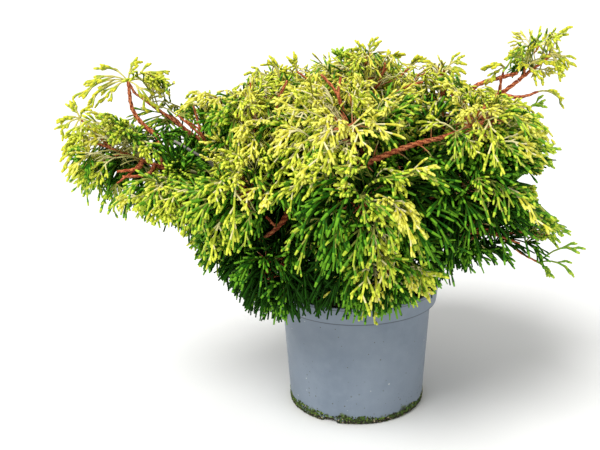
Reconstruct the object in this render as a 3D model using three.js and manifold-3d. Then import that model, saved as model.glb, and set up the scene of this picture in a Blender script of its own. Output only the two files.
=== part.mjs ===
// Dwarf hinoki cypress in a 3 litre nursery pot: pot, compost, a short leading trunk, its boughs, and at
// the end of each bough one mass of flat, fan-shaped foliage sprays. Millimetres, +Z up, origin at the
// centre of the pot's underside, -Y is the front. Bearings run anticlockwise from +X, seen from above.
import * as THREE from "three";
import { mergeVertices } from "three/addons/utils/BufferGeometryUtils.js";
import Module from "manifold-3d";

const wasm = await Module();
wasm.setup();

// ----------------------------------------------------------------------------------------------------
// Driving dimensions
// ----------------------------------------------------------------------------------------------------

const CLEAR = 0.3; // gap between pieces that touch
const WELD = 1e-4; // points closer than this are one point

const POT_HEIGHT = 148;
const POT_FOOT_RADIUS = 79.5;
const POT_WALL_RADIUS = 87.8; // just under the collar
const POT_COLLAR_RADIUS = 96.5;
const POT_COLLAR_HEIGHT = 21;
const POT_COLLAR_DRAFT = 2; // the collar widens by this much from its lower edge to its rim
const POT_COLLAR_CHAMFER = 1.5;
const POT_RIM = { height: 3, inset: 0.6 };
const POT_WALL = 2;
const POT_FLOOR = 3;
const POT_FOOT_ROUNDING = 4;
const POT_SIDES = 32;
const DRAIN_SLOTS = 8;
const DRAIN_SLOT = { width: 17, height: 6.5, depth: 9, firstBearing: 247 };

const COMPOST_TOP = 136;
const COMPOST_SHOULDER = { drop: 4, width: 12 }; // how the compost's edge slopes down to the wall

const TRUNK_FOOT_RADIUS = 12.5;
const TRUNK_TIP_RADIUS = 4.6;
const TRUNK_TAPER = 0.8; // below 1 it thins faster near the foot than near the tip
const TRUNK_SIDES = 10;
const TRUNK_STEPS = 12;
const ROOT_FLARE = { extraRadius: 6, height: 5.3 }; // the extra radius dies away over this height
const TRUNK_BEND = [
  [0, 0, COMPOST_TOP + CLEAR],
  [-7, 5, 200],
  [3, -1, 268],
  [9, 1, 330],
];

const BOUGH_FOOT_RADIUS = 4.1;
const BOUGH_TIP_RADIUS = 2.1;
const BOUGH_SIDES = 5;
const BOUGH_STEP = 24; // length of one straight piece of a bough
const BOUGH_BOW = 0.55; // how far out a bough bends, as a share of its mass's reach
const BOUGH_END = 0.62; // where a bough ends, as a share of the way out from its mass's centre
const STEM_RADIUS = 1.9; // the stem inside a mass, which carries on from its bough's tip
const STEM_SIDES = 4;
const STEM_REACH = 0.3; // how far the stem runs past the mass's centre, as a share of the mass's reach
const TWIG_RADIUS = 1.3;
const TWIG_REACH = 0.3; // how far out a twig ends, as a share of the mass's reach
const TWIG_START = 0.35; // twigs leave the stem beyond this share of it
const TWIG_STRIDE = 7; // from one twig's direction to the next one's
const TWIG_WANDER = 0.5; // radians that a twig's direction may wander

const SPRAY_LENGTH = 84;
const SPRAY_THICKNESS = 3; // at its hub; it thins to its outline
const SPRAY_TEETH = 4;
const SPRAY_NOTCH = 0.7; // reach of a notch, as a share of a tooth's
const SPRAY_ROUND = 0.9; // how much shorter the side teeth are
const SPRAY_SPREAD = THREE.MathUtils.degToRad(112);
const SPRAY_LEAN = 0.5; // how far a spray may lean outward
const SPRAY_DROOP = 0.3;
const SPRAY_ROLL = 1.6; // radians from the steepest roll one way to the steepest the other
const SPRAY_REACH = { least: 0.67, most: 0.85 }; // length, as a share of its mass's reach
const SPRAY_SIZES = [1, 0.8, 0.62]; // a spray that doesn't fit is tried again smaller

// How thickly a mass is grown: core is the size of its solid heart as a share of its radii, directions
// are those that its twigs may take, back is how far they may turn towards the crown's heart, and sprays
// is the most that it bears.
const DENSE = { core: 0.6, directions: 20, back: -0.4, sprays: 8 };
const WING = { core: 0.4, directions: 24, back: -0.9, sprays: 12 };
const OPEN = { core: 0, directions: 24, back: -0.9, sprays: 10 };

const CROWN_HEART = new THREE.Vector3(0, 0, 240); // every mass faces away from this point
const SPACE_SLACK = 1.1; // a mass's foliage may reach this share of its radii
const SPACE_GAP = 1; // from a mass's foliage to the plane that parts it from its neighbour
const LIMB_GAP = 2.5; // between a spray and a limb that isn't its own
const POT_GAP = 3;

// A mass of foliage sits at the end of its bough. reach and height place its centre, across and deep are
// its radii, and leaves is the height at which the bough leaves the trunk. The bough's bend is turned by
// sweep from the mass's bearing, and lies at climb, a share of the rise from the trunk to the mass.
const SKIRT = { reach: 132, height: 206, across: 88, deep: 62, leaves: 168, sweep: 12, climb: 1.35 };
const WAIST = { reach: 152, height: 272, across: 90, deep: 60, leaves: 208, sweep: -8, climb: 0.75 };
const SHOULDER = { reach: 124, height: 344, across: 90, deep: 56, leaves: 268, sweep: 20, climb: 0.45 };
const LEFT_HIGH = { reach: 232, height: 358, across: 100, deep: 44, leaves: 250, sweep: -4, climb: 0.12 };
const LEFT_ARM = { reach: 252, height: 308, across: 90, deep: 50, leaves: 237, sweep: -2, climb: 0.15 };
const LEFT_LOW = { reach: 206, height: 272, across: 96, deep: 50, leaves: 194, sweep: -14, climb: 0.3 };
const FRONT_ARM = { reach: 156, height: 342, across: 88, deep: 54, leaves: 246, sweep: -64, climb: 0.85 };
const RIGHT_HIGH = { reach: 204, height: 398, across: 48, deep: 42, leaves: 244, sweep: 6, climb: 0.5 };
const RIGHT_LOW = { reach: 200, height: 214, across: 66, deep: 44, leaves: 192, sweep: 11, climb: 0.6 };
const CREST = { reach: 8, height: 380, across: 112, deep: 50 };

// The dome is made of rings of masses round the trunk. tilt lifts a ring on the right and lowers it on the
// left. The shoulder ring leaves one place to the front arm.
const RINGS = [
  { name: "skirt", count: 7, first: -80, turn: 51.4, tilt: 20, shape: SKIRT },
  { name: "waist", count: 7, first: -36, turn: 51.4, tilt: 4, shape: WAIST },
  { name: "shoulder", count: 5, first: 26, turn: 60, tilt: 8, shape: SHOULDER },
];
const SWAY = { reach: 12, height: 16, leaves: 7 }; // how unevenly the masses of a ring are set
const SINGLES = [
  { name: "front_arm", bearing: -34, habit: DENSE, bow: 1.25, split: 0.55, ...FRONT_ARM },
  { name: "left_high", bearing: 178, habit: WING, ...LEFT_HIGH },
  { name: "left_arm", bearing: 188, habit: WING, ...LEFT_ARM },
  { name: "left_low", bearing: 200, habit: WING, ...LEFT_LOW },
  { name: "right_high", bearing: 3, habit: OPEN, ...RIGHT_HIGH },
  { name: "right_low", bearing: -8, habit: OPEN, ...RIGHT_LOW },
  { name: "crest", bearing: 0, habit: WING, ...CREST },
];
const SEED_STEP = 7; // from one mass's seed to the next one's
const RING_SEED = 100;
const SUNLIT_HEIGHT = 300; // masses above this height are the yellowest

const BARK = new THREE.MeshStandardMaterial({ color: 0x9a5634, roughness: 0.85, metalness: 0 });
const PLASTIC = new THREE.MeshStandardMaterial({ color: 0x8793a1, roughness: 0.55, metalness: 0 });
const COMPOST = new THREE.MeshStandardMaterial({ color: 0x33241a, roughness: 1, metalness: 0 });
const FOLIAGE = new THREE.MeshStandardMaterial({ color: 0x7d9c2b, roughness: 0.6, metalness: 0 });
const SUNLIT_FOLIAGE = new THREE.MeshStandardMaterial({ color: 0xb4bb3a, roughness: 0.6, metalness: 0 });

// ----------------------------------------------------------------------------------------------------
// Helpers
// ----------------------------------------------------------------------------------------------------

// A repeatable stream of numbers from 0 to 1.
function seeded(seed) {
  let state = seed >>> 0;
  return function next() {
    state = (state + 0x6d2b79f5) >>> 0;
    let t = state;
    t = Math.imul(t ^ (t >>> 15), t | 1);
    t ^= t + Math.imul(t ^ (t >>> 7), t | 61);
    return ((t ^ (t >>> 14)) >>> 0) / 4294967296;
  };
}

function polar(bearingDeg, reach, height) {
  const a = THREE.MathUtils.degToRad(bearingDeg);
  return new THREE.Vector3(reach * Math.cos(a), reach * Math.sin(a), height);
}

// A closed geometry from points and triangles.
function closedGeometry(points, triangles) {
  const geometry = new THREE.BufferGeometry();
  const numbers = points.flatMap((point) => point.toArray());
  geometry.setAttribute("position", new THREE.Float32BufferAttribute(numbers, 3));
  geometry.setIndex(triangles.flat());
  return geometry;
}

function toSolid(geometry) {
  const bare = geometry.clone();
  bare.deleteAttribute("normal");
  bare.deleteAttribute("uv");
  const merged = mergeVertices(bare, WELD);
  return new wasm.Manifold(
    new wasm.Mesh({
      numProp: 3,
      vertProperties: merged.attributes.position.array,
      triVerts: new Uint32Array(merged.index.array),
    }),
  );
}

function toGeometry(solid) {
  const mesh = solid.getMesh();
  const geometry = new THREE.BufferGeometry();
  geometry.setAttribute("position", new THREE.BufferAttribute(new Float32Array(mesh.vertProperties), 3));
  geometry.setIndex(new THREE.BufferAttribute(new Uint32Array(mesh.triVerts), 1));
  return geometry;
}

// The largest body of a solid: scraps that a cut leaves loose are dropped.
function mainBody(solid) {
  return solid.decompose().sort((a, b) => b.volume() - a.volume())[0];
}

function named(name, geometry, material) {
  const mesh = new THREE.Mesh(geometry, material);
  mesh.name = name;
  return mesh;
}

// A tapering limb along a curve: rings of points, each closed to the next, with a flat cut at each end.
function limbGeometry(curve, radiusAt, sides, steps) {
  const frames = curve.computeFrenetFrames(steps, false);
  const points = [];
  const triangles = [];
  for (let i = 0; i <= steps; i++) {
    const centre = curve.getPointAt(i / steps);
    const radius = radiusAt(i / steps);
    for (let k = 0; k < sides; k++) {
      const a = (2 * Math.PI * k) / sides;
      points.push(
        centre
          .clone()
          .addScaledVector(frames.normals[i], radius * Math.cos(a))
          .addScaledVector(frames.binormals[i], radius * Math.sin(a)),
      );
    }
  }
  for (let i = 0; i < steps; i++) {
    for (let k = 0; k < sides; k++) {
      const a = i * sides + k;
      const b = i * sides + ((k + 1) % sides);
      triangles.push([a, b, b + sides], [a, b + sides, a + sides]);
    }
  }
  const last = steps * sides;
  for (let k = 1; k < sides - 1; k++) {
    triangles.push([0, k + 1, k], [last, last + k, last + k + 1]);
  }
  return closedGeometry(points, triangles);
}

// ----------------------------------------------------------------------------------------------------
// Pot and compost
// ----------------------------------------------------------------------------------------------------

function lathe(profile) {
  const points = profile.map(([r, z]) => new THREE.Vector2(r, z));
  return new THREE.LatheGeometry(points, POT_SIDES).rotateX(Math.PI / 2);
}

// The wall's outer radius at a height below the collar.
function potRadiusAt(z) {
  return THREE.MathUtils.lerp(POT_FOOT_RADIUS, POT_WALL_RADIUS, z / (POT_HEIGHT - POT_COLLAR_HEIGHT));
}

function pot() {
  const collarFoot = POT_HEIGHT - POT_COLLAR_HEIGHT;
  const collarRadius = POT_COLLAR_RADIUS - POT_COLLAR_DRAFT;
  const shell = toSolid(
    lathe([
      [0, 0],
      [POT_FOOT_RADIUS - POT_FOOT_ROUNDING, 0],
      [potRadiusAt(POT_FOOT_ROUNDING), POT_FOOT_ROUNDING],
      [POT_WALL_RADIUS, collarFoot],
      [collarRadius, collarFoot + POT_COLLAR_CHAMFER],
      [POT_COLLAR_RADIUS, POT_HEIGHT - POT_RIM.height],
      [POT_COLLAR_RADIUS - POT_RIM.inset, POT_HEIGHT],
      [POT_COLLAR_RADIUS - POT_WALL, POT_HEIGHT],
      [collarRadius - POT_WALL, collarFoot + POT_COLLAR_CHAMFER + POT_WALL],
      [POT_WALL_RADIUS - POT_WALL, collarFoot],
      [POT_FOOT_RADIUS - POT_WALL, POT_FLOOR],
      [0, POT_FLOOR],
    ]),
  );
  const slots = [];
  for (let i = 0; i < DRAIN_SLOTS; i++) {
    const bearing = DRAIN_SLOT.firstBearing + (360 * i) / DRAIN_SLOTS;
    const slot = new THREE.BoxGeometry(2 * DRAIN_SLOT.depth, DRAIN_SLOT.width, 2 * DRAIN_SLOT.height);
    const at = polar(bearing, POT_FOOT_RADIUS, 0);
    slot.rotateZ(THREE.MathUtils.degToRad(bearing)).translate(at.x, at.y, at.z);
    slots.push(toSolid(slot));
  }
  const drained = slots.reduce((made, slot) => made.subtract(slot), shell);
  return named("pot", toGeometry(drained), PLASTIC);
}

function compost() {
  const floor = POT_FLOOR + CLEAR;
  const foot = potRadiusAt(floor) - POT_WALL - 2 * CLEAR;
  const collarFoot = POT_HEIGHT - POT_COLLAR_HEIGHT;
  const neck = POT_WALL_RADIUS - POT_WALL - 2 * CLEAR;
  return named(
    "compost",
    lathe([
      [0, floor],
      [foot - POT_FOOT_ROUNDING, floor],
      [foot, floor + POT_FOOT_ROUNDING],
      [neck, collarFoot],
      [neck, COMPOST_TOP - COMPOST_SHOULDER.drop],
      [neck - COMPOST_SHOULDER.width, COMPOST_TOP],
      [0, COMPOST_TOP],
    ]),
    COMPOST,
  );
}

// ----------------------------------------------------------------------------------------------------
// Trunk and boughs
// ----------------------------------------------------------------------------------------------------

const trunkCurve = new THREE.CatmullRomCurve3(TRUNK_BEND.map((p) => new THREE.Vector3(...p)));

function trunkRadiusAt(t) {
  const rise = t * (TRUNK_BEND.at(-1)[2] - COMPOST_TOP);
  const flare = ROOT_FLARE.extraRadius * Math.exp(-rise / ROOT_FLARE.height);
  return THREE.MathUtils.lerp(TRUNK_FOOT_RADIUS, TRUNK_TIP_RADIUS, Math.pow(t, TRUNK_TAPER)) + flare;
}

// The trunk's axis at a height, by its share of the climb.
function trunkAxisAt(height) {
  const share = (height - COMPOST_TOP) / (TRUNK_BEND.at(-1)[2] - COMPOST_TOP);
  return trunkCurve.getPointAt(THREE.MathUtils.clamp(share, 0, 1));
}

// The trunk's foot is cut level with the compost, whatever way the trunk leans.
function trunkSolid(swell) {
  const tube = limbGeometry(trunkCurve, (t) => trunkRadiusAt(t) + swell, TRUNK_SIDES, TRUNK_STEPS);
  const positions = tube.getAttribute("position");
  for (let k = 0; k < TRUNK_SIDES; k++) {
    positions.setZ(k, COMPOST_TOP + CLEAR);
  }
  return toSolid(tube);
}

// Every mass with its centre, radii, bough and stem, worked out from the rings and the singles.
function planCrown() {
  const masses = [];
  RINGS.forEach(({ name, count, first, turn, tilt, shape }, level) => {
    for (let i = 0; i < count; i++) {
      const random = seeded(RING_SEED * (level + 1) + i);
      const bearing = first + turn * i;
      const lift = tilt * Math.cos(THREE.MathUtils.degToRad(bearing));
      masses.push({
        ...shape,
        name: name + "_" + (i + 1),
        bearing,
        reach: shape.reach + SWAY.reach * (random() - 0.5),
        height: shape.height + lift + SWAY.height * (random() - 0.5),
        leaves: shape.leaves + (i % 2 ? SWAY.leaves : -SWAY.leaves),
        habit: DENSE,
      });
    }
  });
  masses.push(...SINGLES);
  return masses.map((mass, index) => {
    const centre = polar(mass.bearing, mass.reach, mass.height);
    const radii = new THREE.Vector3(mass.across, mass.across, mass.deep);
    const outward = centre.clone().sub(CROWN_HEART).normalize();
    const bough = mass.leaves ? boughCurve(mass, centre, radii) : null;
    const limb = bough ?? trunkCurve;
    const stem = new THREE.Line3(
      limb.getPoint(1).addScaledVector(limb.getTangent(1), CLEAR),
      centre.clone().addScaledVector(outward, STEM_REACH * reachOf(radii, outward)),
    );
    return { ...mass, seed: SEED_STEP * index + 3, centre, radii, outward, bough, stem };
  });
}

// How far a space of these radii reaches from its centre in a direction.
function reachOf(radii, direction) {
  return 1 / direction.clone().divide(radii).length();
}

// A bough runs from the trunk's axis over one bend to the place where it enters its mass.
function boughCurve(mass, centre, radii) {
  const start = trunkAxisAt(mass.leaves);
  const rise = mass.height - mass.leaves;
  const bow = mass.bow ?? BOUGH_BOW;
  const bend = polar(mass.bearing + mass.sweep, bow * mass.reach, mass.leaves + mass.climb * rise);
  const inward = bend.clone().sub(centre).normalize();
  const tip = centre.clone().addScaledVector(inward, BOUGH_END * reachOf(radii, inward));
  return new THREE.QuadraticBezierCurve3(start, bend, tip);
}

function boughRadiusAt(t) {
  return THREE.MathUtils.lerp(BOUGH_FOOT_RADIUS, BOUGH_TIP_RADIUS, t);
}

// The stretch of a curve from one parameter to another.
function stretchOf(curve, from, to) {
  const stretch = new THREE.Curve();
  stretch.getPoint = (t) => curve.getPoint(THREE.MathUtils.lerp(from, to, t));
  return stretch;
}

// A bough that bends round a wide gap is made as two, parted at its bend.
function stretchesOf(mass) {
  if (!mass.split) {
    return [[0, 1]];
  }
  const part = (3 * CLEAR) / mass.bough.getLength();
  return [
    [0, mass.split],
    [mass.split + part, 1],
  ];
}

function boughSolid(mass, from, to, swell) {
  const steps = Math.ceil(((to - from) * mass.bough.getLength()) / BOUGH_STEP);
  const radiusAt = (t) => boughRadiusAt(THREE.MathUtils.lerp(from, to, t)) + swell;
  return toSolid(limbGeometry(stretchOf(mass.bough, from, to), radiusAt, BOUGH_SIDES, steps));
}

// ----------------------------------------------------------------------------------------------------
// Masses of foliage
// ----------------------------------------------------------------------------------------------------

// A leafy twig is a thin stalk that opens into one flat toothed fan, the spray. It has a root on its stem,
// a hub where the stalk becomes the fan, the fan's direction along, the direction across its width, and
// the fan's length.
function fanPoint({ hub, along, across, length }, angle, share) {
  const reach = length * share;
  return hub
    .clone()
    .addScaledVector(along, reach * Math.cos(angle))
    .addScaledVector(across, reach * Math.sin(angle));
}

// The fan's outline from one side to the other: its teeth, and the notches between them.
function fanOutline(spray) {
  const last = 2 * SPRAY_TEETH - 2;
  return Array.from({ length: last + 1 }, (_, i) => {
    const place = i / last - 0.5;
    const round = 1 - SPRAY_ROUND * place * place;
    return fanPoint(spray, place * SPRAY_SPREAD, i % 2 ? SPRAY_NOTCH * round : round);
  });
}

// The stalk is four-sided. Its ring at the hub is also the fan's thickest place.
function sprayGeometry(spray) {
  const up = new THREE.Vector3().crossVectors(spray.along, spray.across);
  const ring = (at, width, height) => [
    at.clone().addScaledVector(spray.across, -width),
    at.clone().addScaledVector(up, height),
    at.clone().addScaledVector(spray.across, width),
    at.clone().addScaledVector(up, -height),
  ];
  const points = [
    ...ring(spray.root, TWIG_RADIUS, TWIG_RADIUS),
    ...ring(spray.hub, SPRAY_THICKNESS / 2, SPRAY_THICKNESS / 2),
    ...fanOutline(spray),
  ];
  const triangles = [
    [0, 1, 2],
    [0, 2, 3],
  ];
  for (let k = 0; k < 4; k++) {
    const next = (k + 1) % 4;
    triangles.push([k, k + 4, next + 4], [k, next + 4, next]);
  }
  const rim = [4, ...points.keys()].filter((index) => index === 4 || index > 7);
  rim.slice(1).forEach((index, i) => triangles.push([rim[i], index, 5], [index, rim[i], 7]));
  triangles.push([rim.at(-1), 6, 5], [6, rim.at(-1), 7]);
  return closedGeometry(points, triangles);
}

// The fan's ribs, one to each tooth.
function ribs(spray) {
  const tips = fanOutline(spray).filter((_, i) => i % 2 === 0);
  return tips.map((tip) => new THREE.Line3(spray.hub, tip));
}

// Whether a rib of one spray runs through the fan of another.
function crosses(one, other) {
  const up = new THREE.Vector3().crossVectors(other.along, other.across);
  const plane = new THREE.Plane().setFromNormalAndCoplanarPoint(up, other.hub);
  return [...ribs(one), new THREE.Line3(one.root, one.hub)].some((rib) => {
    const at = plane.intersectLine(rib, new THREE.Vector3());
    if (!at) {
      return false;
    }
    const offset = at.sub(other.hub);
    const off = offset.angleTo(other.along);
    return offset.length() < other.length && off < SPRAY_SPREAD / 2;
  });
}

function linesAlong(curve) {
  const points = curve.getPoints(TRUNK_STEPS);
  return points.slice(1).map((point, i) => new THREE.Line3(points[i], point));
}

// Whether a line runs close to any of the limbs, tested at points along it but not at its root.
function nearLimb(line, limbs) {
  const points = [0.1, 0.25, 0.4, 0.55, 0.7, 0.85, 1].map((t) => line.at(t, new THREE.Vector3()));
  const nearest = new THREE.Vector3();
  return limbs.some(({ lines, radius }) =>
    lines.some((limbLine) =>
      points.some((point) => {
        limbLine.closestPointToPoint(point, true, nearest);
        return nearest.distanceTo(point) < radius + LIMB_GAP;
      }),
    ),
  );
}

// The planes that part a mass's space from its neighbours', each facing into the space.
function partingPlanes(mass, masses) {
  return masses
    .filter((other) => other.name !== mass.name)
    .map((other) => {
      const inward = mass.centre.clone().sub(other.centre);
      const share = mass.across / (mass.across + other.across);
      const middle = mass.centre.clone().addScaledVector(inward, -share);
      const plane = new THREE.Plane().setFromNormalAndCoplanarPoint(inward.normalize(), middle);
      plane.constant -= SPACE_GAP;
      return plane;
    });
}

// Whether a point lies in a mass's own space: within its radii, clear of the pot and on its side of the
// planes.
function inSpace(point, mass) {
  const aboveRim = point.z > POT_HEIGHT + POT_GAP;
  const overPot = !aboveRim && Math.hypot(point.x, point.y) < POT_COLLAR_RADIUS + POT_GAP;
  const within = point.clone().sub(mass.centre).divide(mass.radii).length() < SPACE_SLACK;
  return within && !overPot && mass.planes.every((plane) => plane.distanceToPoint(point) > 0);
}

// The directions that a mass's twigs take: evenly spread round it by the golden angle.
function twigDirection(index, count, random) {
  const golden = Math.PI * (3 - Math.sqrt(5));
  const z = 1 - (2 * index + 1) / count;
  const a = golden * index + TWIG_WANDER * random();
  const r = Math.sqrt(1 - z * z);
  return new THREE.Vector3(r * Math.cos(a), r * Math.sin(a), z);
}

// The leafy twigs of a mass. They leave its stem and end evenly spread round its centre, and their sprays
// lean outward and droop. What would leave the mass's space, touch a limb or cross its fellows is left out.
function growMass(mass, limbs) {
  const random = seeded(mass.seed);
  const others = limbs.filter((limb) => limb.owner !== mass.name);
  const fits = (spray, sprays) =>
    fanOutline(spray).every((point) => inSpace(point, mass)) &&
    !ribs(spray).some((rib) => nearLimb(rib, limbs)) &&
    !nearLimb(new THREE.Line3(spray.root, spray.hub), others) &&
    !sprays.some((other) => crosses(spray, other) || crosses(other, spray));
  const { directions, back, sprays: most } = mass.habit;
  const sprays = [];
  for (let i = 0; i < directions && sprays.length < most; i++) {
    const direction = twigDirection((i * TWIG_STRIDE) % directions, directions, random);
    const [start, roll, lean, size] = [random(), random(), random(), random()];
    if (direction.dot(mass.outward) < back) {
      continue;
    }
    const root = mass.stem.at(THREE.MathUtils.lerp(TWIG_START, 1, start), new THREE.Vector3());
    const hub = mass.centre.clone().addScaledVector(direction, TWIG_REACH * reachOf(mass.radii, direction));
    const along = direction.clone().addScaledVector(mass.outward, SPRAY_LEAN * lean);
    along.z -= SPRAY_DROOP;
    along.normalize();
    const across = new THREE.Vector3(0, 0, 1).cross(along).normalize();
    across.applyAxisAngle(along, SPRAY_ROLL * (roll - 0.5));
    const share = THREE.MathUtils.lerp(SPRAY_REACH.least, SPRAY_REACH.most, size);
    const full = Math.min(SPRAY_LENGTH, share * reachOf(mass.radii, along));
    const tries = SPRAY_SIZES.map((part) => ({ root, hub, along, across, length: part * full }));
    const spray = tries.find((candidate) => fits(candidate, sprays));
    if (spray) {
      sprays.push(spray);
    }
  }
  return sprays;
}

// One mass as a solid: its stem and leafy twigs fused into one, round a core where the mass is dense.
function massSolid(mass, sprays) {
  const stemLine = new THREE.LineCurve3(mass.stem.start, mass.stem.end);
  const parts = [toSolid(limbGeometry(stemLine, () => STEM_RADIUS, STEM_SIDES, 1))];
  if (mass.habit.core) {
    const ball = new THREE.IcosahedronGeometry(mass.habit.core, 0).scale(...mass.radii.toArray());
    const core = toSolid(ball.translate(...mass.centre.toArray()));
    const trim = (made, { normal, constant }) => made.trimByPlane(normal.toArray(), -constant);
    parts.push(mass.planes.reduce(trim, core));
  }
  parts.push(...sprays.map((spray) => toSolid(sprayGeometry(spray))));
  return parts.reduce((made, part) => made.add(part));
}

// ----------------------------------------------------------------------------------------------------
// The plant
// ----------------------------------------------------------------------------------------------------

const masses = planCrown();
masses.forEach((mass) => {
  mass.planes = partingPlanes(mass, masses);
});

const plant = new THREE.Group();
plant.add(pot(), compost());
plant.add(named("trunk", toGeometry(trunkSolid(0)), BARK));

const swollenTrunk = trunkSolid(CLEAR);
const limbs = [
  { owner: "trunk", radius: TRUNK_FOOT_RADIUS, lines: linesAlong(trunkCurve), swollen: [swollenTrunk] },
];
for (const mass of masses.filter((m) => m.bough)) {
  const swollen = [];
  stretchesOf(mass).forEach(([from, to], i) => {
    const limb = mainBody(boughSolid(mass, from, to, 0).subtract(swollenTrunk));
    const name = "bough_" + mass.name + (i ? "_outer" : "");
    plant.add(named(name, toGeometry(limb), BARK));
    swollen.push(boughSolid(mass, from, to, CLEAR));
  });
  limbs.push({ owner: mass.name, radius: BOUGH_FOOT_RADIUS, lines: linesAlong(mass.bough), swollen });
}

const cuts = limbs.flatMap((limb) => limb.swollen);
for (const mass of masses) {
  const whole = massSolid(mass, growMass(mass, limbs));
  const body = mainBody(cuts.reduce((made, cut) => made.subtract(cut), whole));
  const colour = mass.height > SUNLIT_HEIGHT ? SUNLIT_FOLIAGE : FOLIAGE;
  plant.add(named("foliage_" + mass.name, toGeometry(body), colour));
}

export default plant;
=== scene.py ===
# %% [markdown]
# # Dwarf hinoki cypress in its nursery pot
#
# A small spreading conifer with cord-like, gold-tipped foliage, grown in a plain blue-grey plastic pot.
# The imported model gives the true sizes: the pot, the trunk and boughs, and the space that each mass of
# foliage keeps to. This script dresses it: a moulded pot with moss at its foot, bark with relief, and
# sprays that grow on from the limbs by the same seeded rule as the model's, carried to finer twigs.

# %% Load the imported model
import math

import bmesh
import bpy
import numpy as np
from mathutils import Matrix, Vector, noise


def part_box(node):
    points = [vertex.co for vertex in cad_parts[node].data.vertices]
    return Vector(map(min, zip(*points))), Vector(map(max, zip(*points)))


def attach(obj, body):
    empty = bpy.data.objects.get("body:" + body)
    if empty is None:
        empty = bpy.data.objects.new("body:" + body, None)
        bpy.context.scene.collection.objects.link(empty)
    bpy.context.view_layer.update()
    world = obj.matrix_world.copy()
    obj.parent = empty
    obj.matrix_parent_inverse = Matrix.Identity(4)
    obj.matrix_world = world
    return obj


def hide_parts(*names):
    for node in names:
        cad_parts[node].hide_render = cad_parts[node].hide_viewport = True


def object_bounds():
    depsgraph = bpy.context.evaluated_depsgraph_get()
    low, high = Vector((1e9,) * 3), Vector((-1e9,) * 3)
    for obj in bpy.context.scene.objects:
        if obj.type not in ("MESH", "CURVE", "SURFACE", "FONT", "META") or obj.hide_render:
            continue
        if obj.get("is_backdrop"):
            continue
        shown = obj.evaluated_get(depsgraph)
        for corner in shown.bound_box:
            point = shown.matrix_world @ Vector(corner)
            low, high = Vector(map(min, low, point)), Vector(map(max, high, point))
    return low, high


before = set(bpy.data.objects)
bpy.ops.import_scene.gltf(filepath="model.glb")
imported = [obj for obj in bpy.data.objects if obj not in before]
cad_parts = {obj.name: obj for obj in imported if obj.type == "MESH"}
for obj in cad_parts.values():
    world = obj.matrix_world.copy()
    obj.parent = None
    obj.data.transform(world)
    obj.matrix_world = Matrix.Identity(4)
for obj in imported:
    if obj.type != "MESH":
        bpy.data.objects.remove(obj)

cad_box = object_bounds()
MM = 0.001
UP = np.array([0.0, 0.0, 1.0])
DOWN = np.array([0.0, 0.0, -1.0])
print(len(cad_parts), "nodes in the model")
print("CAD box", [tuple(round(x, 3) for x in corner) for corner in cad_box])

# %% [markdown]
# ## Camera
#
# The plant is seen from a little above its crown, about a metre away. The pot stands right of the middle
# of the frame, so the lens is shifted sideways instead of turned, which keeps the pot's sides upright.

# %% Camera
FRAME_WIDTH = 600
SENSOR_WIDTH = 36
FOCAL_LENGTH = 877  # in pixels of the frame
POT_COLUMN = 356.4  # where the pot's axis stands in the frame
EYE = Vector((0, -0.982, 0.489))
TILT = math.radians(15.6)

camera_data = bpy.data.cameras.new("camera")
camera_data.sensor_width = SENSOR_WIDTH
camera_data.lens = SENSOR_WIDTH * FOCAL_LENGTH / FRAME_WIDTH
camera_data.shift_x = 0.5 - POT_COLUMN / FRAME_WIDTH
camera = bpy.data.objects.new("camera", camera_data)
camera.location = EYE
camera.rotation_euler = (math.pi / 2 - TILT, 0, 0)
bpy.context.scene.collection.objects.link(camera)
bpy.context.scene.camera = camera
print("lens", round(camera_data.lens, 1), "mm, shift", round(camera_data.shift_x, 3))

# %% [markdown]
# ## Colours and node groups
#
# Real surfaces are never one flat colour. Two small node groups make the unevenness that several
# finishes share: `mottle` is cloudy variation, for stains, bark and crumbs, and `flecks` are scattered
# specks, for dirt, grit and scars. Each material places them with its own values.


# %% Colours and materials
SCREEN_TOE = 0.04045  # under this a screen's curve is a straight line
SCREEN_SLOPE = 12.92
SCREEN_OFFSET = 0.055
SCREEN_POWER = 2.4


def linear(hex_colour):
    """A colour written as on a paint card, as the linear values that a shader takes."""
    values = []
    for first in (1, 3, 5):
        level = int(hex_colour[first:first + 2], 16) / 255
        curved = ((level + SCREEN_OFFSET) / (1 + SCREEN_OFFSET)) ** SCREEN_POWER
        values.append(level / SCREEN_SLOPE if level <= SCREEN_TOE else curved)
    return (*values, 1.0)


def new_material(name, colour, roughness):
    """A material with one Principled shader, and that shader."""
    material = bpy.data.materials.new(name)
    material.use_nodes = True
    shader = material.node_tree.nodes["Principled BSDF"]
    shader.inputs["Base Color"].default_value = linear(colour)
    shader.inputs["Roughness"].default_value = roughness
    return material, shader


def numbered_finishes(name, colours, roughness):
    """Plain finishes in several colours, numbered from 0."""
    return [new_material(name + "_" + str(i), colour, roughness)[0] for i, colour in enumerate(colours)]


print("mid grey is", round(linear("#808080")[0], 3), "of white's light")


# %% Node groups
def new_group(name, inputs, outputs):
    """An empty shader node group with number and vector inputs and number outputs."""
    group = bpy.data.node_groups.new(name, "ShaderNodeTree")
    for label, kind in inputs.items():
        group.interface.new_socket(name=label, in_out="INPUT", socket_type=kind)
    for label in outputs:
        group.interface.new_socket(name=label, in_out="OUTPUT", socket_type="NodeSocketFloat")
    return group, group.nodes.new("NodeGroupInput"), group.nodes.new("NodeGroupOutput")


def place_group(tree, group, places, **values):
    """A copy of a group in a material's tree, fed with coordinates and its own values."""
    node = tree.nodes.new("ShaderNodeGroup")
    node.node_tree = group
    tree.links.new(places, node.inputs["Vector"])
    for label, value in values.items():
        node.inputs[label].default_value = value
    return node.outputs[0]


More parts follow.
